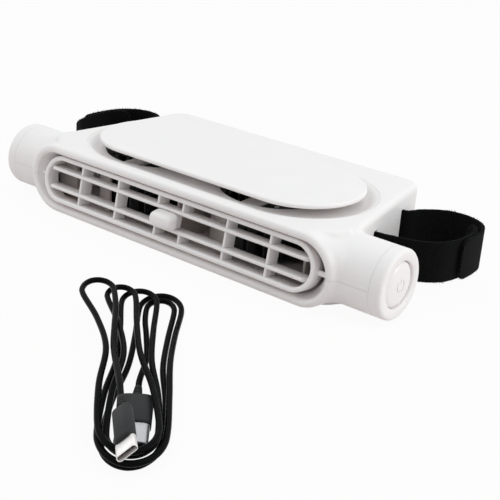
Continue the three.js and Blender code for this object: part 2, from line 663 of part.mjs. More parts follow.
// The tab's head stands in front of the blades; its tang fills the cell behind.
function tiltTab() {
  const front = -GRILLE_DEPTH / 2;
  const head = prismY(
    rectangle(2 * TAB_HALF_WIDTH, 2 * TAB_HALF_HEIGHT, TAB_HALF_HEIGHT * 0.8),
    front - FIT - TAB_OUT,
    front - FIT,
    TAB_ROUND,
    3,
  );
  const tangHalf = RIB_PLACES[0] - RIB_THICK / 2 - FIT;
  const tangRise = BLADE_HEIGHT - BLADE_THICK / 2 - FIT;
  const tang = box(-tangHalf, tangHalf, front - FIT - TAB_ROUND, front + TAB_TANG, -tangRise, tangRise);
  return mesh('tilt_tab', join(head, tang), whiteAbs);
}

// Blower wheel: a cup over the motor, a back plate, curved blades and a stiffening ring
const scrollBase = innerFloor + FIT;
const wheelPlate = scrollBase + SCROLL_BASE + WHEEL_LIFT;

function wheelSolid(x) {
  const hubInner = HUB_RADIUS - HUB_WALL;
  const bore = SHAFT_RADIUS + FIT;
  const cup = latheZ([
    [bore, HUB_TOP - 4],
    [bore + HUB_WALL, HUB_TOP - 4],
    [bore + HUB_WALL, HUB_TOP - HUB_WALL],
    [hubInner, HUB_TOP - HUB_WALL],
    [hubInner, wheelPlate],
    [WHEEL_RADIUS, wheelPlate],
    [WHEEL_RADIUS, wheelPlate + WHEEL_PLATE],
    [HUB_RADIUS, wheelPlate + WHEEL_PLATE],
    [HUB_RADIUS, HUB_TOP],
    [bore, HUB_TOP],
  ], x, INTAKE_Y, 20);
  const ring = latheZ([
    [WHEEL_RADIUS - WHEEL_RING, WHEEL_TOP - WHEEL_PLATE],
    [WHEEL_RADIUS, WHEEL_TOP - WHEEL_PLATE],
    [WHEEL_RADIUS, WHEEL_TOP],
    [WHEEL_RADIUS - WHEEL_RING, WHEEL_TOP],
  ], x, INTAKE_Y, 20);
  const lean = BLADE_DEPTH * 0.8; // forward curve at the tip
  const blade = new THREE.Shape();
  const edge = (share, shift) => [
    WHEEL_RADIUS - 0.4 - BLADE_DEPTH * (1 - share),
    -lean * share * share + shift,
  ];
  const shares = [0, 0.55, 1];
  blade.moveTo(...edge(0, BLADE_WALL / 2));
  shares.slice(1).forEach((share) => blade.lineTo(...edge(share, BLADE_WALL / 2)));
  shares.toReversed().forEach((share) => blade.lineTo(...edge(share, -BLADE_WALL / 2)));
  blade.closePath();
  const blades = Array.from({ length: BLADES }, (_, i) => {
    const one = prism(blade, wheelPlate + WHEEL_PLATE / 2, WHEEL_TOP - WHEEL_PLATE / 2);
    return solidOf(one.rotateZ((2 * Math.PI * i) / BLADES).translate(x, INTAKE_Y, 0));
  });
  return join(cup, ring, ...blades);
}

// Scroll case: a spiral wall on a base, open above and towards the mouth
function scrollSolid(x) {
  const from = THREE.MathUtils.degToRad(SCROLL_TONGUE);
  const steps = 28;
  const spiral = (grow, front) => {
    const shape = new THREE.Shape();
    for (let i = 0; i <= steps; i += 1) {
      const angle = from * (1 - i / steps);
      const radius = SCROLL_START + ((SCROLL_END - SCROLL_START) * i) / steps + grow;
      const [px, py] = [x + radius * Math.cos(angle), INTAKE_Y + radius * Math.sin(angle)];
      if (i === 0) shape.moveTo(px, front);
      shape.lineTo(px, py);
    }
    shape.lineTo(x + SCROLL_END + grow, front);
    shape.closePath();
    return shape;
  };
  const top = spiderUnder - FIT;
  const ahead = 2 * BAR_RADIUS;
  const solid = prismZ(spiral(SCROLL_WALL, SCROLL_FRONT - WALL), scrollBase, top);
  const pocket = prismZ(spiral(0, SCROLL_FRONT - ahead), scrollBase + SCROLL_BASE, top + WALL);
  const wide = 2 * SCROLL_END;
  const front = [SCROLL_FRONT - ahead, SCROLL_FRONT];
  return cut(solid, pocket, box(x - wide, x + wide, ...front, scrollBase - WALL, top + WALL));
}

function blower(side, x) {
  const motorFoot = scrollBase + SCROLL_BASE + FIT;
  const motorTop = motorFoot + MOTOR_HEIGHT;
  const bore = SHAFT_RADIUS + FIT;
  const motor = latheZ([
    [0, motorFoot],
    [MOTOR_RADIUS, motorFoot],
    [MOTOR_RADIUS, motorTop - 1.2],
    [MOTOR_RADIUS - 1.2, motorTop],
    [bore, motorTop],
    [bore, motorTop - SHAFT_SEAT - FIT],
    [0, motorTop - SHAFT_SEAT - FIT],
  ], x, INTAKE_Y, 20);
  const shaft = rodZ(SHAFT_RADIUS, x, INTAKE_Y, motorTop - SHAFT_SEAT, HUB_TOP + 0.8, 14);
  return [
    mesh(`${side}_scroll`, scrollSolid(x), whiteAbs),
    mesh(`${side}_motor`, motor, greySteel),
    mesh(`${side}_motor_shaft`, shaft, greySteel),
    mesh(`${side}_blower_wheel`, wheelSolid(x), blackAbs),
  ];
}

function mainBoard() {
  const half = MAIN_BOARD_LENGTH / 2;
  const plate = box(
    -half,
    half,
    mainBoardY - MAIN_BOARD_WIDTH / 2,
    mainBoardY + MAIN_BOARD_WIDTH / 2,
    boardTop - BOARD_THICK,
    boardTop,
  );
  const holes = mainBoardScrews.map((x) =>
    rodZ(screwHole, x, mainBoardY, boardTop - 2 * BOARD_THICK, boardTop + 1, 8));
  const screws = mainBoardScrews.map((x, i) =>
    screw(`board_screw_${i + 1}`, x, mainBoardY, boardTop, MAIN_BOARD_LIFT, -1));
  return [mesh('control_board', cut(plate, ...holes), boardGreen), ...screws];
}

// A strap goes out of the front slot, round a post and over its own end, then back in at the rear.
// Each leg's points are shares of the way from the side wall out, and from the front slot back.
function strap(name, side, widen, swell) {
  const out = slabWidest + STRAP_STANDOUT + widen - STRAP_THICK / 2;
  const inner = out - STRAP_THICK - STRAP_LAP_GAP;
  const [front, rear] = [STRAP_FRONT_SLOT, STRAP_REAR_SLOT];
  const rearmost = SLAB_REAR - STRAP_INSET + swell;
  const middle = (front + rear) / 2;
  const wallAt = (y) => slabHalfWidth(y) - WALL / 2;
  const { lerp } = THREE.MathUtils;
  const under = (across, back) => [lerp(wallAt(front), inner, across), lerp(front, rearmost, back)];
  const over = (across, back) => [lerp(wallAt(rear), out, across), lerp(rear, rearmost, back)];
  const route = [
    under(0.76, 0.86),
    under(0.92, 0.79),
    under(1, 0.68),
    under(1, 0.52),
    under(0.97, 0.385),
    under(0.9, 0.26),
    under(0.76, 0.163),
    under(0.57, 0.09),
    under(0.345, 0.042),
    under(0.12, 0.01),
    [wallAt(front), front],
    [strapInside(front) - strapTuck, front + STRAP_THICK],
    [strapInside(front) - strapTuck, front + STRAP_SLOT],
    [strapInside(middle), middle],
    [strapInside(rear) - strapTuck, rear - STRAP_SLOT],
    [strapInside(rear) - strapTuck, rear - STRAP_THICK],
    [wallAt(rear), rear],
    over(0.077, 0.088),
    over(0.156, 0.42),
    over(0.277, 0.72),
    over(0.41, 0.934),
    over(0.59, 1),
    over(0.76, 0.923),
    over(0.904, 0.7),
    over(0.978, 0.39),
    over(1, 0.03),
    [out, lerp(front, rearmost, 0.5)],
    [out - STRAP_THICK / 3, lerp(front, rearmost, 0.4)],
  ].map(([x, y]) => new THREE.Vector3(side * x, y, 0));
  const line = new THREE.CatmullRomCurve3(route).getPoints(STRAP_STEPS);
  const edge = (shift) => line.map((point, i) => {
    const along = line[Math.min(i + 1, line.length - 1)].clone().sub(line[Math.max(i - 1, 0)]).normalize();
    return new THREE.Vector2(point.x - along.y * shift, point.y + along.x * shift);
  });
  const shape = new THREE.Shape([...edge(STRAP_THICK / 2), ...edge(-STRAP_THICK / 2).reverse()]);
  return mesh(name, prismZ(shape, -STRAP_WIDTH / 2, STRAP_WIDTH / 2), blackWeb);
}

// Hank: three layers of loops, out and in by turns, each climb along a run, and a last fold on
// top for the charging plug's lead. Points are along, across and up, with the near end at -along;
// each layer is turned a little more to the left.
function hankRoute() {
  const step = CABLE_DIAMETER + LAYER_GAP;
  const floor = CABLE_DIAMETER / 2;
  const points = [];
  const turnAt = (height) => THREE.MathUtils.degToRad(HANK_FAN * ((2 * (height - floor)) / (3 * step) - 1));
  const put = (u, v, height, fan = height) => {
    const arm = new THREE.Vector2(u - HANK_HINGE, -v).rotateAround(new THREE.Vector2(), turnAt(fan));
    points.push(new THREE.Vector3(arm.x + HANK_HINGE, arm.y, height));
  };
  const inset = (u) => {
    const share = THREE.MathUtils.smoothstep(u, -0.4 * HANK_HALF_RUN, HANK_HALF_RUN);
    const waist = Math.max(0, 1 - ((u - 4) / (0.8 * HANK_HALF_RUN)) ** 2) ** 2;
    return HANK_TAPER * share + HANK_WAIST * waist;
  };
  const bend = (end, from, to, height) => {
    for (let i = 0; i < 8; i += 1) {
      const angle = (i / 8 - 0.5) * Math.PI;
      const radius = from + ((to - from) * i) / 8 - inset(end * HANK_HALF_RUN);
      const reach = HANK_HALF_RUN + HANK_STRETCH * radius * Math.cos(angle);
      put(end * reach, end * radius * Math.sin(angle), height);
    }
  };
  const run = (side, from, to, start, finish) => {
    for (let i = 0; i < 4; i += 1) {
      const u = side * HANK_HALF_RUN * (1 - i / 2);
      const level = start + (finish - start) * Math.min(1, i / 2);
      const fan = start + (finish - start) * Math.max(0, i / 2 - 1);
      put(u, side * (from + ((to - from) * i) / 4 - inset(u)), level, fan);
    }
  };
  // The far plug's lead runs up the middle and folds into the first loop.
  const leadHeight = PLUG_A.height / 2 + FIT;
  put(PLUG_A_START, 0, leadHeight, floor + step / 2);
  put(PLUG_A_START + 2 * CABLE_DIAMETER, 0, leadHeight, floor + step / 2);
  put(8, -1.2, floor);
  put(0.5 * HANK_HALF_RUN, -3, floor);
  put(0.8 * HANK_HALF_RUN, -HANK_FOLD + 0.5, floor);
  bend(1, HANK_FOLD + HANK_TAPER, HANK_INNER, floor);
  let radius = HANK_INNER;
  let height = floor;
  const wind = (count, way, first) => {
    const change = (way * HANK_PITCH) / 4;
    const kinds = [
      (next) => run(1, radius, next, height, height),
      (next) => bend(-1, radius, next, height),
      (next) => run(-1, radius, next, height, height),
      (next) => bend(1, radius, next, height),
    ];
    for (let i = 0; i < count; i += 1) {
      kinds[(first + i) % 4](radius + change);
      radius += change;
    }
  };
  const climb = (side) => {
    run(side, radius, radius, height, height + step);
    height += step;
  };
  wind(4, 1, 0);
  climb(1);
  wind(5, -1, 1);
  climb(-1);
  wind(3, 1, 3);
  climb(-1);
  bend(1, radius, HANK_FOLD + HANK_TAPER, height);
  // The charging plug's lead comes back down the middle, and the plug lies over the layer below.
  const rollC = THREE.MathUtils.degToRad(PLUG_C_ROLL);
  const riseC = PLUG_C.half * Math.abs(Math.sin(rollC)) + PLUG_C.radius;
  const top = height - step + CABLE_DIAMETER / 2 + LAYER_GAP + riseC;
  const fanC = height - 0.7 * step;
  put(0.72 * HANK_HALF_RUN, HANK_FOLD - 0.8, height);
  put(0.36 * HANK_HALF_RUN, 2.4, height);
  put(0, 0.2, height);
  put(PLUG_C_START + 4 * CABLE_DIAMETER, PLUG_C_ASIDE + 0.1, top, fanC);
  put(PLUG_C_START + 2 * CABLE_DIAMETER, PLUG_C_ASIDE, top, fanC);
  put(PLUG_C_START, PLUG_C_ASIDE, top, fanC);
  return { points, top, rollC, turnC: turnAt(fanC), turnA: turnAt(floor + step / 2), leadHeight };
}

// A curve whose steps fall on its own points, closer together round the bends.
class RouteCurve extends THREE.CatmullRomCurve3 {
  getUtoTmapping(u) {
    return u;
  }
}

// The least gap between stretches of a tube that aren't neighbours, read on points.
function leastGap(line, diameter) {
  let least = Infinity;
  const along = [0];
  line.forEach((point, i) => i && along.push(along[i - 1] + point.distanceTo(line[i - 1])));
  for (let i = 0; i < line.length; i += 1) {
    for (let j = i + 1; j < line.length; j += 1) {
      if (along[j] - along[i] > 4 * diameter) least = Math.min(least, line[i].distanceTo(line[j]));
    }
  }
  return least - diameter;
}

function circle(radius, sides) {
  const shape = new THREE.Shape();
  for (let i = 0; i < sides; i += 1) {
    const angle = (2 * Math.PI * (i + 0.5)) / sides;
    const corner = [radius * Math.cos(angle), radius * Math.sin(angle)];
    if (i) shape.lineTo(...corner);
    else shape.moveTo(...corner);
  }
  shape.closePath();
  return shape;
}

// A plug lies along -X from the end of its lead: strain relief, overmould and metal shell.
function plug(name, moulding, shell, hollow, length, shellLength) {
  const mouldBack = -FIT - RELIEF_LENGTH;
  const mouldFront = mouldBack - length;
  const taper = [[1.2, -FIT], [1.7, mouldBack - PLUG_EDGE]].map(([share, x]) =>
    circle((share * CABLE_DIAMETER) / 2, 8).getPoints().slice(0, -1)
      .map((p) => new THREE.Vector3(x, p.x, p.y)));
  const body = join(prismX(moulding, mouldFront, mouldBack, PLUG_EDGE, 3), loft(taper));
  const seat = mouldFront - FIT;
  const metal = cut(
    prismX(shell, seat - shellLength, seat, 0, 3),
    prismX(hollow, seat - shellLength - WALL, seat - PLUG_SHELL, 0, 3),
  );
  const group = new THREE.Group();
  group.add(mesh(`${name}_overmould`, body, darkRubber), mesh(`${name}_shell`, metal, greySteel));
  return group;
}

function usbCable() {
  const { points, top, rollC, turnC, turnA, leadHeight } = hankRoute();
  const curve = new RouteCurve(points, false, 'centripetal');
  const length = curve.getLength();
  const fine = curve.getPoints(points.length * 8);
  const gap = leastGap(fine, CABLE_DIAMETER);
  console.log(`usb_cable: ${length.toFixed(0)} mm long, least gap ${gap.toFixed(2)} mm`);
  const section = circle(CABLE_DIAMETER / 2, CABLE_SIDES);
  const tube = new THREE.ExtrudeGeometry(section, { steps: points.length - 1, extrudePath: curve });
  const plugC = plug(
    'plug_c',
    stadium(PLUG_C.half, PLUG_C.radius),
    stadium(PLUG_C.shellHalf, PLUG_C.shellRadius),
    stadium(PLUG_C.shellHalf, PLUG_C.shellRadius - PLUG_SHELL),
    PLUG_C.length,
    PLUG_C.shell,
  );
  plugC.position.copy(points.at(-1)).setZ(top);
  plugC.rotation.set(rollC, 0, turnC, 'ZYX');
  const plugA = plug(
    'plug_a',
    rectangle(PLUG_A.width, PLUG_A.height, 2),
    rectangle(PLUG_A.shellWidth, PLUG_A.shellHeight, 0.6),
    rectangle(PLUG_A.shellWidth - 2 * PLUG_SHELL, PLUG_A.shellHeight - 2 * PLUG_SHELL, 0.4),
    PLUG_A.length,
    PLUG_A.shell,
  );
  plugA.position.copy(points[0]).setZ(leadHeight);
  plugA.rotation.z = turnA;
  const group = new THREE.Group();
  group.add(mesh('usb_cable', solidOf(tube), blackPvc), plugC, plugA);
  group.position.set(...HANK_PLACE, -SLAB_HALF_HEIGHT);
  group.rotation.z = THREE.MathUtils.degToRad(HANK_TURN + 180);
  return group;
}

// Assembly
const fan = new THREE.Group();
fan.add(...housing(), ...intakeCover(), ...inletEnd(), ...buttonEnd(), ...mainBoard());
fan.add(...blower('left', inletCentres[0]), ...blower('right', inletCentres[1]));
fan.add(...shellScrews.map(([x, y], i) =>
  screw(`shell_screw_${i + 1}`, x, y, SHELL_SCREW_SEAT, SHELL_SCREW_LENGTH, 1)));
fan.add(strap('left_strap', -1, STRAP_WIDEN, STRAP_SWELL), strap('right_strap', 1, 0, 0));

const tilting = new THREE.Group();
tilting.add(grille(), tiltTab());
tilting.position.set(0, PIVOT_Y, 0);
tilting.rotation.x = -THREE.MathUtils.degToRad(REST_TILT);
fan.add(tilting);

// The origin is the middle of the slab's underside.
const part = new THREE.Group();
part.add(fan, usbCable());
part.position.set(0, -(SLAB_FRONT + SLAB_REAR) / 2, SLAB_HALF_HEIGHT);

export default part;
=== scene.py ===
"""Looks of a car headrest fan: moulded shells, slatted outlet, floating intake cover, push button,
hook-and-loop straps and a USB lead in a hank, dressed over the packed solids."""

import math
import random

import bmesh
import bpy
from bpy.props import FloatProperty, FloatVectorProperty, IntProperty, PointerProperty
from mathutils import Matrix, Vector


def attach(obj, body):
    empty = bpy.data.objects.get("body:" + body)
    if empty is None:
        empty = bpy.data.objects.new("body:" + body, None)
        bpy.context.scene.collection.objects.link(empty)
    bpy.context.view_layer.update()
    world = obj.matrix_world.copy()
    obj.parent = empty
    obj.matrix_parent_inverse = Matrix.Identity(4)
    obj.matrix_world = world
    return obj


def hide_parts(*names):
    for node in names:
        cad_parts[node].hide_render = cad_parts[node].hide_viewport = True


bl_info = {
    "name": "Headrest Fan",
    "version": (1, 0, 0),
    "blender": (4, 5, 0),
    "location": "View3D > Sidebar > Fan",
    "description": "Builds the visible pieces of a car headrest fan over its solids",
    "category": "Object",
}

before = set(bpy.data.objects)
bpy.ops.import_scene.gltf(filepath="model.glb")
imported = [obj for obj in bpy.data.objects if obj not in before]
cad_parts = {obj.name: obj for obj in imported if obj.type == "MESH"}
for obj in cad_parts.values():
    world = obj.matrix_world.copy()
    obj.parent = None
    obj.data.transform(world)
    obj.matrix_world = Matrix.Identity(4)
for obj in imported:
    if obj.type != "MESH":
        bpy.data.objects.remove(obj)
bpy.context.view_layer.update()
# Pieces are drawn about the bar's axis and then seated in the frame.
SEAT = Vector((0.0, -0.0335, 0.018))
# Play between pieces that fit together, and the distance within which points are one.
FIT = 0.0003
SAME = 1e-6
# Further out than any side of the fan, for the tools that part its shells.
BEYOND = 0.2
BLACK = (0, 0, 0, 1)
WHITE = (1, 1, 1, 1)
# Each lamp's place, and its width and height.
LAMPS = {
    "key": ((-0.1, 0.1, 0.95), (1.4, 1.2)),
    "side": ((0.75, 0.1, 0.5), (0.5, 0.4)),
    "fill": ((-0.7, -0.45, 0.45), (0.5, 0.5)),
    "gleam": ((0.56, 0.27, 0.055), (0.16, 0.1)),
}
# A strap's way, as shares from a slot out to the loop's side and back to its rear: the layer that lies
# under the lap, and the layer over it.
UNDER_LAP = ((0.76, 0.86), (0.92, 0.79), (1, 0.68), (1, 0.52), (0.97, 0.385), (0.9, 0.26), (0.76, 0.163),
             (0.57, 0.09), (0.345, 0.042), (0.12, 0.01))
OVER_LAP = ((0.077, 0.088), (0.156, 0.42), (0.277, 0.72), (0.41, 0.934), (0.59, 1), (0.76, 0.923),
            (0.904, 0.7), (0.978, 0.39), (1, 0.03))
FIBRE_SEED = 5


def length(millimetres, name, description):
    """A size that a user may change, given in millimetres and kept in metres."""
    return FloatProperty(name=name, description=description, default=millimetres / 1000,
                         unit="LENGTH", precision=5)


def angle(degrees, name, description):
    """A turn, given in degrees and kept in radians."""
    return FloatProperty(name=name, description=description, default=math.radians(degrees),
                         unit="ROTATION")


def share(value, name, description):
    """A part of another size or amount, from nought to one."""
    return FloatProperty(name=name, description=description, default=value, subtype="FACTOR",
                         min=0, max=1)


def amount(value, name, description, unit="NONE"):
    """A plain number, or one in a unit of Blender's own."""
    return FloatProperty(name=name, description=description, default=value, unit=unit)


def count(value, name, description):
    return IntProperty(name=name, description=description, default=value, min=0)


def colour(rgb, name, description):
    return FloatVectorProperty(name=name, description=description, default=rgb, size=3,
                               subtype="COLOR", min=0, max=1)


class ShellSizes(bpy.types.PropertyGroup):
    """Bar, slab and lip of the two moulded shells."""
    wall: length(2, "Wall", "Thickness of the moulded walls")
    seam: length(0.08, "Seam", "Parting line between the two shells")
    bar_radius: length(16.5, "Bar radius", "Outside of the round front bar")
    bar_end: length(112.42, "Bar end", "Half of the bar's length, without its caps")
    bar_spare: length(4, "Bar spare", "Run of the bar past its ends, before it is trimmed")
    slab_height: length(18, "Slab half height", "From the bar's axis to the slab's top")
    slab_width: length(93.6, "Slab half width", "At the bar's axis")
    slab_taper: length(14, "Slab taper", "How much narrower each side is at the rear")
    slab_front: length(-14, "Slab front", "Behind the lip's front edge")
    slab_rear: length(81, "Slab rear", "Rear wall's outside")
    front_corner: length(20, "Front corner", "Rounding of the slab's front corners")
    rear_corner: length(7, "Rear corner", "Rounding of the slab's rear corners")
    edge_round: length(2.8, "Edge round", "Rounding of the slab's top and bottom edges")
    lip_front: length(-19.5, "Lip front", "Foremost edge of the lip")
    lip_round: length(2, "Lip round", "Rounding of the lip")
    flare: length(13, "Flare", "How far the lip's ends run out along the bar")
    flare_sink: length(0.6, "Flare sink", "The flare's edge below the bar's skin")
    grain: length(0.65, "Grain", "Spacing of the skin's mesh")
    softening: count(10, "Softening", "Passes that blend the joins of bar, slab and lip")
    column: length(3.8, "Column radius", "Of the screw columns inside")
    well: length(2.7, "Well radius", "Of the screw wells in the underside")
    well_roof: length(-8, "Well roof", "Inner end of the wells, from the bar's axis")
    bar_screw: length(101, "Bar screws", "Near the bar's ends, from the middle")
    outer_screw: length(66, "Outer rear screws", "Along the rear, from the middle")
    inner_screw: length(33, "Inner rear screws", "Along the rear, from the middle")
    rear_screw: length(11, "Rear screws", "Before the rear wall's outside")


class OutletSizes(bpy.types.PropertyGroup):
    """Mouth, slatted outlet and its tilt tab."""
    mouth_half: length(77.8, "Mouth half straight", "Straight part of the mouth")
    mouth_radius: length(13.75, "Mouth radius", "Round ends of the mouth")
    mouth_back: length(-3, "Mouth back", "Where the throat ends")
    throat_step: length(4.2, "Throat step", "How far the mouth's ends slope in")
    throat_start: length(-12.5, "Throat start", "Where the ends stop sloping")
    baffle: length(-78.6, "Baffle", "Wall behind the mouth's left end, up to the scroll")
    baffle_play: length(0.4, "Baffle play", "Between that wall and the bar's bore")
    grille_half: length(73.85, "Outlet half straight", "Straight part of the slatted outlet")
    grille_radius: length(12.16, "Outlet radius", "Round ends of the slatted outlet")
    rim: length(2.4, "Outlet rim", "Thickness of its ring")
    rim_round: share(0.42, "Rim round", "Rounding of the ring's edges, against its thickness")
    depth: length(8.6, "Outlet depth", "Front to back")
    pivot: length(-15, "Pivot", "Place of the tilt axis before the bar's axis")
    tilt: angle(10.5, "Rest tilt", "Lean of the outlet's top edge to the rear")
    blade_height: length(4.75, "Blade height", "Of each blade above or below the middle")
    blade_thick: length(1.9, "Blade thickness", "At the rounded nose")
    blade_tail: share(0.7, "Blade tail", "Thickness at the rear, against the nose")
    tip_slope: length(3.2, "Tip slope", "How far the blades' ends slope back to the ring")
    rib_thick: length(1.3, "Rib thickness", "Upright ribs between the blades")
    rib_setback: length(0.8, "Rib setback", "Of the ribs behind the blades' noses")
    rib_nose: share(0.8, "Rib nose", "Rounding of the ribs' fronts, against half their thickness")
    outer_rib: length(60.05, "Outer ribs", "From the centre line")
    inner_rib: length(34.7, "Inner ribs", "From the centre line")
    middle_rib: length(7.85, "Middle ribs", "Of the ribs beside the tab, from the centre line")
    pin_radius: length(1.3, "Pin radius", "Pivot pins at both ends")
    pin_length: length(6.7, "Pin length", "Of the pivot pins, from inside the ring")
    tab_out: length(6.5, "Tab length", "How far the tilt tab stands out")
    tab_width: length(14, "Tab width", "Across the tilt tab")
    tab_height: length(8.8, "Tab height", "Of the tilt tab")
    tab_narrow: share(0.9, "Tab narrowing", "Width of the tab's front, against its root")
    tab_flat: share(0.66, "Tab flattening", "Height of the tab's front, against its root")
    tab_side: share(0.62, "Tab sides", "Rounding of the tab's sides, against half its height")
    tab_front: length(2.1, "Tab front", "Rounding of the tab's front")
    tab_root: length(1, "Tab root", "Rounding of the tab's root")
    tang_width: share(0.7, "Tang width", "Of the tab's tang, against the tab")
    tang_ahead: length(2, "Tang ahead", "Run of the tang into the tab's head")
    tang_back: length(5, "Tang back", "Run of the tang into its cell")


class IntakeSizes(bpy.types.PropertyGroup):
    """Dish, inlets and the floating cover over them."""
    centre: length(24.7, "Intake centre", "Behind the bar's axis")
    half: length(46, "Cover half straight", "Straight part of the cover")
    radius: length(31, "Cover radius", "Round ends of the cover")
    thick: length(2.2, "Cover thickness", "Of the floating plate")
    lift: length(1.7, "Cover lift", "Of the cover above the slab")
    edge: length(0.9, "Cover edge", "Rounding of the cover's edges")
    border: length(1, "Cover border", "Ring inside the edges that keeps the flats even")
    dish_margin: length(6.4, "Dish margin", "Of the dish outside the cover")
    dish_depth: length(2.8, "Dish depth", "Below the slab's top")
    dish_wall: length(1.8, "Dish wall", "Thickness of the dish's floor")
    rim_break: length(0.6, "Rim break", "Broken edge of the dish's rim")
    inlet_left: length(-44.35, "Left inlet", "Centre of the left blower")
    inlet_right: length(32.35, "Right inlet", "Centre of the right blower")
    inlet_radius: length(29, "Inlet radius", "Of each round inlet")
    spoke_width: length(8.6, "Spoke width", "Of the three spokes in an inlet")
    spoke_thick: length(1.6, "Spoke thickness", "Of the spokes")
    spoke_drop: length(2.2, "Spoke drop", "Of the spokes below the dish's floor")
    spoke_edge: length(0.3, "Spoke edge", "Rounding of the spokes")
    hub: length(9, "Spoke hub", "Round plate where the spokes meet")
    post: length(3.6, "Post radius", "Posts that carry the cover")
    post_spread: length(14, "Post spread", "Of the middle posts from the centre line")


class EndSizes(bpy.types.PropertyGroup):
    """Caps at the bar's ends and the push button."""
    end: length(118.5, "Bar half length", "To the caps' outer faces")
    cap_width: length(6, "Cap width", "Along the bar")
    cap_depth: length(4.2, "Cap depth", "From a cap's face to its back")
    cap_round: length(1.7, "Cap round", "Rounding of the caps' rims")
    hole_edge: length(0.7, "Hole edge", "Rounding of the caps' openings")
    spigot: length(5, "Spigot", "Length of cap inside the bar")
    spigot_wall: length(1.6, "Spigot wall", "Thickness of the spigots")
    recess: length(0.9, "Recess", "Of the left cap's face")
    socket_half: length(2.84, "Socket half straight", "Straight part of the power inlet")
    socket_radius: length(1.93, "Socket radius", "Round ends of the power inlet")
    button_radius: length(10.7, "Button radius", "Of the domed button")
    button_dome: length(2.2, "Button dome", "Height of its crown")
    button_proud: length(0.3, "Button proud", "Of the crown past the cap")
    button_edge: length(0.9, "Button edge", "Rounding of the button's shoulder")
    button_wall: length(1.6, "Button wall", "Thickness of the button")
    bulge_depth: share(0.62, "Bulge depth", "Of the crown's curve, against the dome")
    bulge_width: share(0.93, "Bulge width", "Of the crown's curve, against the button")
    flange_out: length(1.4, "Flange", "Of the button's flange past its side")
    flange_thick: length(1, "Flange thickness", "Along the bar")
    stem: length(2, "Stem radius", "Of the button's stem")
    sign_radius: length(2.7, "Sign radius", "Of the raised power ring")
    sign_line: length(0.45, "Sign line", "Width of the raised lines")
    sign_rise: length(0.3, "Sign rise", "Thickness of the raised lines")


class StrapSizes(bpy.types.PropertyGroup):
    """Hook-and-loop straps."""
    width: length(20, "Strap width", "Of the webbing")
    thick: length(1.5, "Strap thickness", "Of the webbing with its pile")
    woven: share(0.96, "Woven share", "Of the thickness, without the pile")
    soft_edge: share(0.22, "Soft edge", "Rounding of the edges, against the thickness")
    front_slot: length(23.4, "Front slot", "Where a strap leaves the side wall")
    rear_slot: length(57.4, "Rear slot", "Where it goes back in")
    slot: length(3.6, "Slot width", "Of the openings in the side wall")
    standout: length(31.4, "Stand-out", "Of a loop beyond the slab's widest place")
    inset: length(5.5, "Inset", "Of a loop's rearmost place from the slab's rear")
    lap_gap: length(0.7, "Lap gap", "Between the two layers where they close")
    widen: length(3.5, "Left widening", "The left loop is wider by this")
    swell: length(10, "Left swell", "The left loop is longer by this")
    corner: length(4.5, "Corner", "Rounding of the free ends")
    ripple: length(0.08, "Ripple", "Unevenness of the woven edges")
    fibre: length(1.2, "Fibre", "Longest loose fibre at the edges")
    fibre_root: length(0.1, "Fibre root", "Radius of a loose fibre at its root")
    fibre_tip: length(0.03, "Fibre tip", "Radius of a loose fibre at its tip")
    fibres: count(700, "Fibres", "Loose fibres on each strap")


class CableSizes(bpy.types.PropertyGroup):
    """USB lead, wound in a hank of three layers, and its two plugs."""
    diameter: length(2.5, "Diameter", "Of the lead's jacket")
    layer_gap: length(0.5, "Layer gap", "Between layers of loops")
    place_x: length(66.3, "Hank across", "The hank's middle, along the bar")
    place_y: length(-112.4, "Hank ahead", "The hank's middle, before the bar's axis")
    turn: angle(-46, "Hank turn", "Heading of the hank's near end")
    half_run: length(51, "Half run", "Half of a straight run")
    pitch: length(3.1, "Pitch", "Step between loops")
    inner: length(9.4, "Inner bend", "Near bend of the first loop")
    taper: length(3, "Taper", "How much tighter the far bends are")
    taper_start: share(0.4, "Taper start", "Before the hank's middle, against a half run")
    waist: length(3.2, "Waist", "Each side is drawn in by this")
    waist_place: length(4, "Waist place", "Past the hank's middle")
    waist_reach: share(0.8, "Waist reach", "To each side of its place, against a half run")
    fold: length(5.6, "Fold", "Bend where the leads turn into the loops")
    stretch: amount(1.6, "Stretch", "Bends longer than they are wide")
    fan: angle(6.6, "Fan", "From the middle to the outer layers")
    hinge: length(-58.5, "Hinge", "Where the layers fan from")
    relief: length(8, "Strain relief", "Length of each tapered sleeve")
    relief_radius: length(2, "Strain relief radius", "At its thick end")
    relief_sink: length(1, "Strain relief sink", "How far it goes into the plug's body")
    plug_edge: length(1.2, "Plug edge", "Rounding of the plugs' bodies")
    plug_c_start: length(-41.5, "Small plug", "Where its strain relief begins")
    plug_c_aside: length(-2.4, "Small plug aside", "Off the hank's middle")
    plug_c_roll: angle(-42, "Small plug roll", "It lies partly on its side")
    plug_c_rise: length(3.603, "Small plug rise", "Of its axis above the loops under it")
    plug_c_body: length(20, "Small plug body", "Length of its body")
    plug_c_half: length(1.5, "Small plug half straight", "Straight part of its body")
    plug_c_radius: length(2.5, "Small plug radius", "Round edges of its body")
    plug_a_start: length(-19, "Large plug", "Where its strain relief begins")
    plug_a_body: length(19, "Large plug body", "Length of its body")
    plug_a_width: length(12.8, "Large plug width", "Across its body")
    plug_a_height: length(6, "Large plug height", "Of its body")
    sleeve_wall: length(0.35, "Sleeve wall", "Thickness of the plated sleeves")
    sleeve_rim: length(0.1, "Sleeve rim", "Broken edges of the sleeves")
    sleeve_c_reach: length(6.7, "Small sleeve", "Length of the small plug's sleeve")
    sleeve_c_half: length(2.9, "Small sleeve half straight", "Straight part of the sleeve")
    sleeve_c_radius: length(1.27, "Small sleeve radius", "Round ends of the sleeve")
    sleeve_a_reach: length(12, "Large sleeve", "Length of the large plug's sleeve")
    sleeve_a_width: length(12, "Large sleeve width", "Across the sleeve")
    sleeve_a_height: length(4.5, "Large sleeve height", "Of the sleeve")


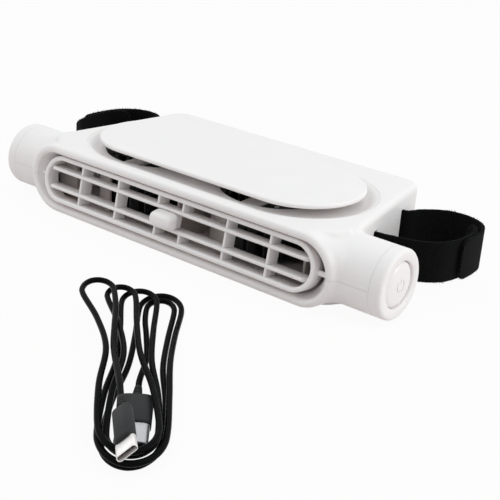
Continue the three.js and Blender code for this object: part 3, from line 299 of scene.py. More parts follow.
class FinishColours(bpy.types.PropertyGroup):
    """Colours of the finishes."""
    white: colour((0.87, 0.826, 0.809), "White shell", "Moulded white plastic")
    milky: share(0.12, "Milkiness", "Light that passes under the white plastic's skin")
    # A darker, warmer copy of the white plastic: painted shade for the shadowed ducts and baffle inside the
    # mouth.
    shaded_duct: colour((0.6, 0.53, 0.5), "Ducts", "Scrolls and baffle inside the housing")
    black: colour((0.012, 0.012, 0.013), "Black inside", "Blower wheels and switch")
    web: colour((0.0016, 0.0016, 0.0017), "Webbing", "Pile of the straps")
    jacket: colour((0.004, 0.004, 0.0043), "Jacket", "Lead's jacket")
    moulding: colour((0.02, 0.02, 0.021), "Plug body", "Soft plug bodies")
    nickel: colour((0.66, 0.64, 0.63), "Plug metal", "Plated sleeve of the small plug")
    # Steel for the screws, motors and socket; on the large plug's sleeve this darker metal is painted shade.
    steel: colour((0.5, 0.51, 0.53), "Steel", "Screws, motors, socket and large plug's sleeve")
    board: colour((0.015, 0.11, 0.05), "Board", "Solder mask")
    floor: colour((0.72, 0.66, 0.645), "Floor", "Plain pale floor")


class StageSettings(bpy.types.PropertyGroup):
    """Camera and light."""
    eye: FloatVectorProperty(name="Eye", description="Camera's place", size=3, unit="LENGTH",
                             default=(0.3277, -0.4244, 0.2144), subtype="TRANSLATION")
    azimuth: angle(36.70, "Azimuth", "Camera's turn round the fan")
    elevation: angle(22.87, "Elevation", "Camera's height above the horizon")
    roll: angle(4.21, "Roll", "Camera's roll")
    lens: amount(80.095, "Lens", "Focal length on the camera's frame", "CAMERA")
    frame_width: amount(36, "Frame width", "Of the camera's frame", "CAMERA")
    sky: amount(0.735, "Sky", "Even light from all round")
    sky_tone: colour((0.929, 0.978, 1.0), "Light tone", "Slightly cool studio light")
    key: amount(2.76, "Key", "Large soft lamp overhead", "POWER")
    side: amount(1.58, "Side", "Soft lamp at the right", "POWER")
    fill: amount(0.6, "Fill", "Soft lamp at the left", "POWER")
    gleam: amount(0.4, "Gleam", "Small low lamp at the right, for the gloss", "POWER")
    ghost: share(0.94, "Floor glow", "Share of the floor that stays plain white")
    floor_half: length(6000, "Floor half width", "From the fan to the floor's sides")
    turns: count(96, "Round steps", "Faces round a turned piece")


SETTINGS = {
    "fan_shell": ShellSizes, "fan_outlet": OutletSizes, "fan_intake": IntakeSizes, "fan_ends": EndSizes,
    "fan_straps": StrapSizes, "fan_cable": CableSizes, "fan_colours": FinishColours,
    "fan_stage": StageSettings,
}


# Finishes


class Wire:
    """An output socket. Arithmetic on it adds Math nodes to its finish."""

    def __init__(self, finish, socket):
        self.finish = finish
        self.socket = socket

    def maths(self, operation, *terms):
        return self.finish.node("ShaderNodeMath", {"operation": operation}, dict(enumerate(terms)))

    def __add__(self, other):
        return self.maths("ADD", self, other)

    def __radd__(self, other):
        return self.maths("ADD", other, self)

    def __sub__(self, other):
        return self.maths("SUBTRACT", self, other)

    def __rsub__(self, other):
        return self.maths("SUBTRACT", other, self)

    def __mul__(self, other):
        return self.maths("MULTIPLY", self, other)

    def __rmul__(self, other):
        return self.maths("MULTIPLY", other, self)

    def sine(self):
        return self.maths("SINE", self)

    def beside(self, name):
        """Another output of the same node."""
        return Wire(self.finish, self.socket.node.outputs[name])


class Finish:
    """A material or world under construction, with one method that adds any node."""

    def __init__(self, name, kind=None):
        self.owner = (bpy.data.materials if kind is None else kind).new(name)
        self.owner.use_nodes = True
        self.tree = self.owner.node_tree
        self.tree.nodes.clear()

    def node(self, kind, settings=None, sockets=None, out=0):
        """Adds a node, sets it up, fills its sockets and returns one of its outputs."""
        made = self.tree.nodes.new(kind)
        for key, value in (settings or {}).items():
            if key == "stops":
                while len(made.color_ramp.elements) < len(value):
                    made.color_ramp.elements.new(1)
                for element, (place, shade) in zip(made.color_ramp.elements, value):
                    element.position = place
                    element.color = shade
            else:
                setattr(made, key, value)
        for key, value in (sockets or {}).items():
            if isinstance(value, Wire):
                self.tree.links.new(value.socket, made.inputs[key])
            else:
                made.inputs[key].default_value = value
        return Wire(self, made.outputs[out]) if made.outputs else None

    def place(self, scale=(1, 1, 1)):
        """Object coordinates, stretched along the axes."""
        where = self.node("ShaderNodeTexCoord", out="Object")
        return self.node("ShaderNodeMapping", None, {"Vector": where, "Scale": scale})

    def noise(self, where, scale, detail=3.0, roughness=0.5):
        """Cloudy values between nought and one."""
        return self.node("ShaderNodeTexNoise", None, {
            "Vector": where, "Scale": scale, "Detail": detail, "Roughness": roughness}, "Fac")

    def ramp(self, value, *stops):
        """Shades between stops, each a place and a colour, by a value."""
        return self.node("ShaderNodeValToRGB", {"stops": stops}, {"Fac": value})

    def blend(self, part, first, second):
        """A colour between two, by the part that the second has."""
        return self.node("ShaderNodeMix", {"data_type": "RGBA"}, {
            "Factor": part, 6: first, 7: second}, 2)

    def bump(self, height, strength, distance):
        """A normal that shows heights as relief."""
        return self.node("ShaderNodeBump", None, {
            "Strength": strength, "Distance": distance, "Height": height}, "Normal")

    def seen(self):
        """One for what the eye sees, straight, mirrored or through glass, and otherwise nought."""
        rays = self.node("ShaderNodeLightPath", out="Is Camera Ray")
        shown = rays + rays.beside("Is Glossy Ray") + rays.beside("Is Transmission Ray")
        return self.node("ShaderNodeClamp", None, {"Value": shown})

    def surface(self, sockets):
        """Ends the finish with one principled surface."""
        shader = self.node("ShaderNodeBsdfPrincipled", None, sockets)
        self.node("ShaderNodeOutputMaterial", None, {"Surface": shader})


def tint(rgb, gain=1.0):
    """A colour made lighter or darker, with full alpha."""
    return (*[min(1.0, channel * gain) for channel in rgb], 1.0)


def moulded_plastic(name, rgb, rough, cloud, texture, milky=0.0):
    """Satin moulded plastic: faint clouding, a fine etched texture, uneven gloss and a milky depth."""
    finish = Finish(name)
    where = finish.place()
    clouds = finish.noise(where, 45, 4)
    etched = finish.noise(where, 5200, 2)
    handled = finish.noise(where, 240, 5, 0.6)
    finish.surface({
        "Base Color": finish.blend(clouds, tint(rgb, 1 - cloud), tint(rgb, 1 + cloud)),
        "Roughness": rough - 0.04 + 0.09 * handled,
        "Normal": finish.bump(etched, texture, 0.00002),
        "Subsurface Weight": milky,
        "Subsurface Radius": (1.0, 0.8, 0.7),
        "Subsurface Scale": 0.002,
    })


def webbing(name, rgb):
    """Black loop pile over a woven back: ribs along the strap, threads across and loose fuzz."""
    finish = Finish(name)
    way = finish.node("ShaderNodeUVMap", {"uv_map": "strap"})
    along = finish.node("ShaderNodeSeparateXYZ", None, {0: way}, "X")
    across = along.beside("Y")
    ribs = (across * 7400).sine()
    threads = (along * 5800 + across * 1700).sine()
    where = finish.place()
    fuzz = finish.noise(where, 2600, 5, 0.7)
    worn = finish.noise(where, 160, 4, 0.6)
    weave = threads * 0.4 + ribs * 0.1 + 0.5
    pile = weave * 0.65 + fuzz * 0.35
    light = finish.ramp(pile * 0.8 + worn * 0.2, (0.35, BLACK), (0.75, WHITE))
    finish.surface({
        "Base Color": finish.blend(light, tint(rgb, 0.4), tint(rgb, 4.6)),
        "Roughness": 0.86 + 0.12 * fuzz,
        "Sheen Weight": 0.03,
        "Sheen Roughness": 0.55,
        "Sheen Tint": (0.62, 0.62, 0.65, 1),
        "Specular IOR Level": 0.06,
        "Normal": finish.bump(pile, 0.6, 0.00025),
    })


def soft_vinyl(name, rgb, rough, texture, gloss):
    """Extruded or moulded black vinyl: slight orange peel, dull patches and dust."""
    finish = Finish(name)
    where = finish.place()
    peel = finish.noise(where, 1300, 3)
    dull = finish.noise(where, 120, 4, 0.6)
    dust = finish.noise(where, 4200, 2, 0.8)
    specks = finish.ramp(dust, (0.7, BLACK), (0.8, WHITE))
    finish.surface({
        "Base Color": finish.blend(specks, tint(rgb), tint(rgb, 1.8)),
        "Roughness": rough - 0.07 + 0.16 * dull,
        "Normal": finish.bump(peel, texture, 0.00003),
        "Specular IOR Level": gloss,
    })


def drawn_metal(name, rgb, rough, stretch=(1, 1, 1)):
    """Plated or turned metal with fine drawing lines."""
    finish = Finish(name)
    lines = finish.noise(finish.place(stretch), 900, 4, 0.7)
    stain = finish.noise(finish.place(), 160, 3)
    finish.surface({
        "Base Color": finish.blend(stain, tint(rgb, 0.92), tint(rgb, 1.05)),
        "Metallic": 1.0,
        "Roughness": rough - 0.05 + 0.14 * lines,
        "Normal": finish.bump(lines, 0.08, 0.00002),
    })


def circuit_board(name, rgb):
    """Solder mask with paler tracks and small tinned pads."""
    finish = Finish(name)
    where = finish.place()
    tracks = finish.node("ShaderNodeTexBrick", {"offset": 0.37, "squash": 1.4}, {
        "Vector": where, "Scale": 420.0, "Mortar Size": 0.035, "Mortar Smooth": 0.1}, "Fac")
    cells = finish.node("ShaderNodeTexVoronoi", {"feature": "F1"}, {
        "Vector": where, "Scale": 430.0, "Randomness": 0.55}, "Distance")
    pads = finish.ramp(cells, (0.13, WHITE), (0.17, BLACK))
    mask = finish.blend(tracks, tint(rgb), tint(rgb, 1.9))
    finish.surface({
        "Base Color": finish.blend(pads, mask, (0.62, 0.62, 0.6, 1)),
        "Roughness": 0.34 + 0.1 * tracks,
        "Metallic": pads * 0.8,
    })


def pale_floor(name, rgb, ghost):
    """A matte floor that shows plain white to the eye and in reflections, but keeps a soft shadow."""
    finish = Finish(name)
    drift = finish.noise(finish.place(), 6, 2)
    matte = finish.node("ShaderNodeBsdfDiffuse", None, {
        "Color": finish.blend(drift, tint(rgb, 0.99), tint(rgb, 1.01))})
    glow = finish.node("ShaderNodeEmission", None, {"Color": WHITE, "Strength": 1.0})
    mixed = finish.node("ShaderNodeMixShader", None, {0: finish.seen() * ghost, 1: matte, 2: glow})
    finish.node("ShaderNodeOutputMaterial", None, {"Surface": mixed})
    return finish.owner


def studio_sky(name, strength, rgb):
    """Even light from all round that shows as plain white to the eye and in reflections."""
    finish = Finish(name, bpy.data.worlds)
    seen = finish.seen()
    back = finish.node("ShaderNodeBackground", None, {
        "Color": finish.blend(seen, tint(rgb), WHITE),
        "Strength": strength + seen * (1 - strength),
    })
    finish.node("ShaderNodeOutputWorld", None, {"Surface": back})
    return finish.owner


def finishes():
    """All finishes by name, made once."""
    made = bpy.data.materials
    if "white_shell" not in made:
        tones = bpy.context.scene.fan_colours
        moulded_plastic("white_shell", tones.white, rough=0.4, cloud=0.02, texture=0.05, milky=tones.milky)
        moulded_plastic("white_button", tones.white, rough=0.2, cloud=0.01, texture=0.02, milky=tones.milky)
        # Painted shade: the white plastic darkened and warmed for the shadowed ducts.
        moulded_plastic("duct_white", tones.shaded_duct, rough=0.5, cloud=0.05, texture=0.1)
        moulded_plastic("black_inside", tones.black, rough=0.5, cloud=0.15, texture=0.12)
        webbing("strap_pile", tones.web)
        soft_vinyl("lead_jacket", tones.jacket, rough=0.24, texture=0.12, gloss=0.02)
        soft_vinyl("plug_body", tones.moulding, rough=0.55, texture=0.25, gloss=0.2)
        drawn_metal("plug_plate", tones.nickel, rough=0.3)
        drawn_metal("plain_steel", tones.steel, rough=0.34, stretch=(1, 1, 6))
        circuit_board("solder_mask", tones.board)
    return made


# Shapes


def to_object(name, bm):
    """Turns a bmesh, which is used up, into an object at the origin."""
    mesh = bpy.data.meshes.new(name)
    bm.to_mesh(mesh)
    bm.free()
    made = bpy.data.objects.new(name, mesh)
    bpy.context.scene.collection.objects.link(made)
    return made


def closed_up(bm):
    """Merges doubled points and turns the faces outwards."""
    bmesh.ops.remove_doubles(bm, verts=bm.verts, dist=SAME)
    bmesh.ops.recalc_face_normals(bm, faces=bm.faces)
    return bm


def dress(made, stands_for=(), body="housing", finish="white_shell", slot="white_plastic", sharp=38):
    """Seats a piece in the frame, gives it its finish and shading, sets it on its body and hides the nodes
    that it stands for.
    """
    mesh = made.data
    mesh.transform(Matrix.Translation(SEAT))
    mesh.shade_smooth()
    mesh.set_sharp_from_angle(angle=math.radians(sharp))
    mesh.materials.clear()
    mesh.materials.append(finishes()[finish])
    mesh.polygons.foreach_set("material_index", [0] * len(mesh.polygons))
    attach(made, body)
    if stands_for:
        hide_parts(*stands_for)


def seat_piece(name, bm, stands_for=(), **looks):
    """Turns a finished bmesh into a piece that rides on a body."""
    made = to_object(name, closed_up(bm))
    dress(made, stands_for, **looks)
    return made


def baked(made):
    """Applies an object's modifiers to its mesh."""
    bpy.context.view_layer.update()
    shown = made.evaluated_get(bpy.context.evaluated_depsgraph_get())
    mesh = bpy.data.meshes.new_from_object(shown)
    made.modifiers.clear()
    spare = made.data
    made.data = mesh
    bpy.data.meshes.remove(spare)
    return made


def combine(base, operation, *tools):
    """Joins or cuts a solid with others, which are used up."""
    for tool in tools:
        step = base.modifiers.new("step", "BOOLEAN")
        step.operation = operation
        step.solver = "MANIFOLD"
        step.object = tool
    baked(base)
    for tool in tools:
        bpy.data.objects.remove(tool)
    return base


def rounded(bm, edges, offset, segments):
    """Rounds edges."""
    bmesh.ops.bevel(bm, geom=list(edges), offset=offset, offset_type="OFFSET", segments=segments,
                    profile=0.5, affect="EDGES", material=-1)


def edges_at(verts):
    """All edges that meet at some points."""
    return {edge for vert in verts for edge in vert.link_edges}


def span(edge, axis):
    """How far an edge runs along an axis."""
    return abs(edge.verts[0].co[axis] - edge.verts[1].co[axis])


def grown(extruded):
    """The new points of an extrusion, and the edges between them."""
    verts = [item for item in extruded["geom"] if isinstance(item, bmesh.types.BMVert)]
    fresh = set(verts)
    edges = [item for item in extruded["geom"]
             if isinstance(item, bmesh.types.BMEdge) and fresh.issuperset(item.verts)]
    return verts, edges


def loft(bm, rings, steps=96, closed=False):
    """Lofts rings made from one circle: each ring places a unit point (across, up) and its side."""
    unit = bm.verts.layers.float_vector.get("unit") or bm.verts.layers.float_vector.new("unit")
    start = bmesh.ops.create_circle(bm, cap_ends=not closed, segments=steps, radius=1.0,
                                    matrix=Matrix.Rotation(math.pi / steps, 4, "Z"))
    verts = start["verts"]
    for vert in verts:
        vert[unit] = vert.co
    first = edges = list(edges_at(verts))
    for number, ring in enumerate(rings):
        if number:
            verts, edges = grown(bmesh.ops.extrude_edge_only(bm, edges=edges))
        for vert in verts:
            across, up, _ = vert[unit]
            vert.co = ring(across, up, math.copysign(1, across))
    if closed:
        bmesh.ops.bridge_loops(bm, edges=first + edges)
    else:
        bmesh.ops.contextual_create(bm, geom=edges)
    return bm


def upright(half, radius, y):
    """A stadium ring that stands across the bar's depth."""
    return lambda across, up, side: Vector((side * half + radius * across, y, radius * up))


def level(half, radius, y, z):
    """A stadium ring that lies level."""
    return lambda across, up, side: Vector((side * half + radius * across, y + radius * up, z))


def facing(half, radius, x):
    """A stadium ring that faces along the bar."""
    return lambda across, up, side: Vector((x, side * half + radius * across, radius * up))


def squared(half, rise, x, corner=4.0):
    """A ring that faces along the bar, a rectangle with soft corners."""
    def ring(across, up, side):
        size = (abs(across) ** corner + abs(up) ** corner) ** (-1 / corner)
        return Vector((x, half * across * size, rise * up * size))
    return ring


def solid(name, rings, steps=96):
    """A closed loft as an object, for joining and cutting."""
    bm = loft(bmesh.new(), rings, steps)
    bmesh.ops.recalc_face_normals(bm, faces=bm.faces)
    return to_object(name, bm)


def rod(bm, radius, start, end, steps=32, tip=None):
    """A round rod from one point to another, which may taper to its tip."""
    start, end = Vector(start), Vector(end)
    way = end - start
    turn = way.to_track_quat("Z", "Y").to_matrix().to_4x4()
    bmesh.ops.create_cone(bm, cap_ends=True, segments=steps, radius1=radius,
                          radius2=radius if tip is None else tip, depth=way.length,
                          matrix=Matrix.Translation((start + end) / 2) @ turn)


def rods(name, radius, spans, steps=32):
    """Several rods as one object, for joining and cutting."""
    bm = bmesh.new()
    for start, end in spans:
        rod(bm, radius, start, end, steps)
    return to_object(name, bm)


def block(bm, low, high, turn=None):
    """A box between two corners, turned about its middle if need be."""
    low, high = Vector(low), Vector(high)
    size = Matrix.Diagonal((*(high - low), 1))
    place = Matrix.Translation((low + high) / 2) @ (turn or Matrix.Identity(4)) @ size
    return bmesh.ops.create_cube(bm, size=1, matrix=place)["verts"]


def drawn(bm, outline, way):
    """Extrudes a flat outline of a few points along a way."""
    verts = [bm.verts.new(point) for point in outline]
    face = bmesh.ops.contextual_create(bm, geom=verts)["faces"][0]
    moved, _ = grown(bmesh.ops.extrude_face_region(bm, geom=[face]))
    bmesh.ops.translate(bm, vec=way, verts=moved)
    return verts + moved


def turned(bm, profile, side=1, steps=96):
    """Spins a profile of (distance along the bar, radius) about the bar's axis."""
    verts = [bm.verts.new((side * x, 0, radius)) for x, radius in profile]
    edges = [bm.edges.new(pair) for pair in zip(verts, verts[1:])]
    bmesh.ops.spin(bm, geom=verts + edges, cent=(0, 0, 0), axis=(1, 0, 0), dvec=(0, 0, 0),
                   angle=2 * math.pi, steps=steps, use_merge=True)
    return bm


def arc(centre, radius, start, end, steps):
    """Points on part of a circle, as pairs, from one angle to another in degrees."""
    turns = [math.radians(start + (end - start) * i / steps) for i in range(steps + 1)]
    return [(centre[0] + radius * math.cos(turn), centre[1] + radius * math.sin(turn)) for turn in turns]


def smooth_line(points, per):
    """A centripetal curve through points, with a number of steps between each two."""
    line = []
    padded = [2 * points[0] - points[1], *points, 2 * points[-1] - points[-2]]
    for p0, p1, p2, p3 in zip(padded, padded[1:], padded[2:], padded[3:]):
        d0, d1, d2 = [max(1e-5, (b - a).length) ** 0.5 for a, b in ((p0, p1), (p1, p2), (p2, p3))]
        m1 = ((p1 - p0) / d0 - (p2 - p0) / (d0 + d1) + (p2 - p1) / d1) * d1
        m2 = ((p2 - p1) / d1 - (p3 - p1) / (d1 + d2) + (p3 - p2) / d2) * d1
        for i in range(per):
            t = i / per
            line.append(p1 * (2 * t**3 - 3 * t**2 + 1) + m1 * (t**3 - 2 * t**2 + t)
                        + p2 * (3 * t**2 - 2 * t**3) + m2 * (t**3 - t**2))
    line.append(points[-1].copy())
    return line


def distances(line):
    """How far along a line each of its points lies."""
    travelled = [0.0]
    for before, here in zip(line, line[1:]):
        travelled.append(travelled[-1] + (here - before).length)
    return travelled


# Shells


def slab_solid(name, shell, inset, height, edge):
    """The tapered slab with its corners rounded, and its top and bottom edges if asked."""
    slope = shell.slab_taper / shell.slab_rear
    front, rear = shell.slab_front + inset, shell.slab_rear - inset
    wide = shell.slab_width - slope * shell.slab_front - inset
    narrow = shell.slab_width - shell.slab_taper - inset
    outline = [(-wide, front), (wide, front), (narrow, rear), (-narrow, rear)]
    bm = bmesh.new()
    drawn(bm, [(x, y, -height) for x, y in outline], (0, 0, 2 * height))
    for ahead, radius in ((True, shell.front_corner - inset), (False, shell.rear_corner - inset)):
        posts = [line for line in bm.edges
                 if span(line, 2) > height and (line.verts[0].co.y < 0) == ahead]
        rounded(bm, posts, radius, 12)
    if edge:
        rims = [line for line in bm.edges
                if span(line, 2) < SAME and abs(abs(line.verts[0].co.z) - height) < SAME
                and len({round(face.normal.z) for face in line.link_faces}) > 1]
        rounded(bm, rims, edge, 6)
    bmesh.ops.recalc_face_normals(bm, faces=bm.faces)
    return to_object(name, bm)


def lip_rings(shell, outlet):
    """The lip swells round the mouth, then runs out on to the bar in a hollow curve."""
    half, height, soft = outlet.mouth_half, shell.slab_height, shell.lip_round
    crest_y = shell.lip_front + soft
    limit = shell.bar_radius - shell.flare_sink

    def flare(back, out):
        def ring(across, up, side):
            crest = Vector((side * half + height * across, crest_y, height * up))
            z = max(-limit, min(limit, crest.z))
            x = crest.x + shell.flare * across
            seat = Vector((x, shell.flare_sink - math.sqrt(shell.bar_radius**2 - z**2), z))
            gap = seat - crest
            return crest + Vector((out * gap.x, back * gap.y, out * gap.z))
        return ring

    rings = [upright(half, radius, y) for y, radius in arc((crest_y, height - soft), soft, 180, 90, 5)]
    for degrees in range(10, 91, 10):
        turn = math.radians(degrees)
        rings.append(flare(math.sin(turn), 1 - math.cos(turn)))
    return rings


def mouth_rings(shell, outlet):
    """The mouth's opening: a rounded lip, ends that slope in, and a straight throat."""
    half, soft = outlet.mouth_half, shell.lip_round
    wide, narrow = outlet.mouth_radius + soft, outlet.mouth_radius
    rings = [upright(half, wide, shell.lip_front - shell.wall)]
    rings += [upright(half, radius, y)
              for y, radius in arc((shell.lip_front + soft, wide), soft, 180, 270, 5)]
    rings += [upright(half - outlet.throat_step, narrow, y)
              for y in (outlet.throat_start, outlet.mouth_back)]
    return rings


def dish_rings(shell, intake):
    """The dish's walls curve down from a slightly broken rim to the level floor."""
    top, rim, edge = shell.slab_height, intake.radius + intake.dish_margin, intake.rim_break
    brim = ((edge, shell.wall), (edge, edge / 6), (edge / 6, -edge / 2))
    rings = [level(intake.half, rim + out, intake.centre, top + rise) for out, rise in brim]
    steps = 8
    for step in range(1, steps + 1):
        part = step / steps
        depth = edge / 2 + (intake.dish_depth - edge / 2) * (1 - math.cos(part * math.pi)) / 2
        rings.append(level(intake.half, rim - intake.dish_margin * part, intake.centre, top - depth))
    return rings


def screw_places(shell):
    """Six screws, one near each end of the bar and four along the rear, with half their columns' heights."""
    rear = shell.slab_rear - shell.rear_screw
    low, high = shell.bar_radius - shell.wall / 2, shell.slab_height - shell.wall / 2
    places = [(side * shell.bar_screw, 0, low) for side in (-1, 1)]
    for across in (shell.outer_screw, shell.inner_screw):
        places += [(side * across, rear, high) for side in (-1, 1)]
    return places


def inlet_places(intake):
    """Centres of the two inlets."""
    return [(x, intake.centre) for x in (intake.inlet_left, intake.inlet_right)]


def spoke_faces(shell, intake):
    """Heights of the spokes' lower and upper faces."""
    top = shell.slab_height - intake.dish_depth - intake.spoke_drop
    return top - intake.spoke_thick, top


def inlet_spokes(shell, intake):
    """A round hub and three spokes in each inlet."""
    low, high = spoke_faces(shell, intake)
    reach = intake.inlet_radius + intake.dish_wall / 2
    half = Vector((reach / 2, intake.spoke_width / 2, 0))
    bm = bmesh.new()
    for x, y in inlet_places(intake):
        rod(bm, intake.hub, (x, y, low), (x, y, high), 48)
        for degrees in (-90, 30, 150):
            turn = Matrix.Rotation(math.radians(degrees), 4, "Z")
            middle = Vector((x, y, 0)) + turn @ Vector((reach / 2, 0, 0))
            block(bm, (middle - half)[:2] + (low,), (middle + half)[:2] + (high,), turn)
    rounded(bm, [edge for edge in bm.edges if edge.is_manifold], intake.spoke_edge, 2)
    return bm


def strap_slots(shell, straps):
    """Cutters for the four strap slots, in line with the slab's tapered sides."""
    slope = math.atan(shell.slab_taper / shell.slab_rear)
    half = Vector((2 * shell.wall, straps.slot / 2, straps.width / 2 + FIT))
    bm = bmesh.new()
    for side in (-1, 1):
        turn = Matrix.Rotation(side * slope, 4, "Z")
        for y in (straps.front_slot, straps.rear_slot):
            x = side * (shell.slab_width - shell.slab_taper * y / shell.slab_rear - shell.wall / 2)
            block(bm, Vector((x, y, 0)) - half, Vector((x, y, 0)) + half, turn)
    return to_object("slots", bm)


def hollow_skin(shell, outlet):
    """Slab, bar and lip in one, with their joins blended, hollowed and trimmed at the bar's ends."""
    reach = shell.bar_end + shell.bar_spare
    skin = combine(
        slab_solid("skin", shell, 0, shell.slab_height, shell.edge_round), "UNION",
        rods("bar", shell.bar_radius, [((-reach, 0, 0), (reach, 0, 0))], 160),
        solid("lip", lip_rings(shell, outlet), 128),
    )
    remesh = skin.modifiers.new("even", "REMESH")
    remesh.mode = "VOXEL"
    remesh.voxel_size = shell.grain
    soften = skin.modifiers.new("soften", "SMOOTH")
    soften.factor = 0.5
    soften.iterations = shell.softening
    baked(skin)
    bore = shell.bar_radius - shell.wall
    trims = bmesh.new()
    for start, end in ((-2 * reach, -shell.bar_end), (shell.bar_end, 2 * reach)):
        block(trims, (start, -2 * bore, -2 * bore), (end, 2 * bore, 2 * bore))
    return combine(
        skin, "DIFFERENCE",
        slab_solid("room", shell, shell.wall, shell.slab_height - shell.wall, 0),
        rods("bore", bore, [((-2 * reach, 0, 0), (2 * reach, 0, 0))], 96),
        to_object("trims", trims),
    )


def housing_solid(shell, outlet, intake, straps):
    """The whole housing, before it is parted: the dish's pan, collars and columns, and the openings."""
    skin = hollow_skin(shell, outlet)
    top = shell.slab_height
    floor = top - intake.dish_depth
    spoke_under, _ = spoke_faces(shell, intake)
    inlets, screws = inlet_places(intake), screw_places(shell)
    pan = intake.radius + intake.dish_margin + shell.wall
    combine(
        skin, "UNION",
        solid("pan", [level(intake.half, pan, intake.centre, z)
                      for z in (floor - intake.dish_wall, top - shell.wall / 2)]),
        rods("collars", intake.inlet_radius + intake.dish_wall,
             [((x, y, spoke_under), (x, y, floor - intake.dish_wall / 2)) for x, y in inlets], 96),
        rods("columns", shell.column, [((x, y, -z), (x, y, z)) for x, y, z in screws], 24),
    )
    return combine(
        skin, "DIFFERENCE",
        solid("dish", dish_rings(shell, intake), 128),
        solid("mouth", mouth_rings(shell, outlet), 128),
        rods("inlets", intake.inlet_radius,
             [((x, y, spoke_under - shell.wall), (x, y, top)) for x, y in inlets], 96),
        rods("wells", shell.well,
             [((x, y, -top - shell.wall), (x, y, shell.well_roof)) for x, y, _ in screws], 32),
        strap_slots(shell, straps),
    )


class FAN_OT_shells(bpy.types.Operator):
    """Mould the upper and lower shells with the mouth, dish, inlets and strap slots"""
    bl_idname = "fan.shells"
    bl_label = "Shells"

    def execute(self, context):
        scene = context.scene
        shell, outlet, intake = scene.fan_shell, scene.fan_outlet, scene.fan_intake
        upper = housing_solid(shell, outlet, intake, scene.fan_straps)
        lower = upper.copy()
        lower.data = upper.data.copy()
        scene.collection.objects.link(lower)
        for made, low, high in ((upper, -BEYOND, shell.seam / 2), (lower, -shell.seam / 2, BEYOND)):
            half = bmesh.new()
            block(half, (-BEYOND, -BEYOND, low), (BEYOND, BEYOND, high))
            combine(made, "DIFFERENCE", to_object("half", half))
        upper.name = "upper_shell"
        lower.name = "lower_shell"
        dress(upper, ["upper_housing"])
        dress(lower, ["lower_housing"])
        seat_piece("inlet_spokes", inlet_spokes(shell, intake))
        tall = shell.bar_radius - shell.wall - outlet.baffle_play
        baffle = bmesh.new()
        block(baffle, (-outlet.mouth_half - outlet.mouth_radius, outlet.mouth_back, -tall),
              (outlet.baffle, outlet.mouth_back + shell.wall, tall))
        # The baffle is white plastic; its darker finish is painted shade.
        seat_piece("mouth_baffle", baffle, finish="duct_white")
        return {"FINISHED"}


class FAN_OT_cover(bpy.types.Operator):
    """Mould the floating intake cover and its posts"""
    bl_idname = "fan.cover"
    bl_label = "Intake cover"

    def execute(self, context):
        shell, intake = context.scene.fan_shell, context.scene.fan_intake
        under = shell.slab_height + intake.lift
        top = under + intake.thick
        edge = intake.edge
        flat = intake.radius - edge
        profile = [(flat - intake.border, under), *arc((flat, under + edge), edge, -90, 0, 6),
                   *arc((flat, top - edge), edge, 0, 90, 6), (flat - intake.border, top)]
        bm = loft(bmesh.new(), [level(intake.half, r, intake.centre, z) for r, z in profile], 160)
        floor = shell.slab_height - intake.dish_depth
        middle = (intake.inlet_left + intake.inlet_right) / 2
        feet = [(x, y, floor - intake.spoke_drop) for x, y in inlet_places(intake)]
        feet += [(middle, intake.centre + side * intake.post_spread, floor) for side in (-1, 1)]
        for x, y, z in feet:
            rod(bm, intake.post, (x, y, z + FIT), (x, y, under + intake.thick / 2), 48)
        seat_piece("cover_plate", bm, ["intake_cover"])
        return {"FINISHED"}


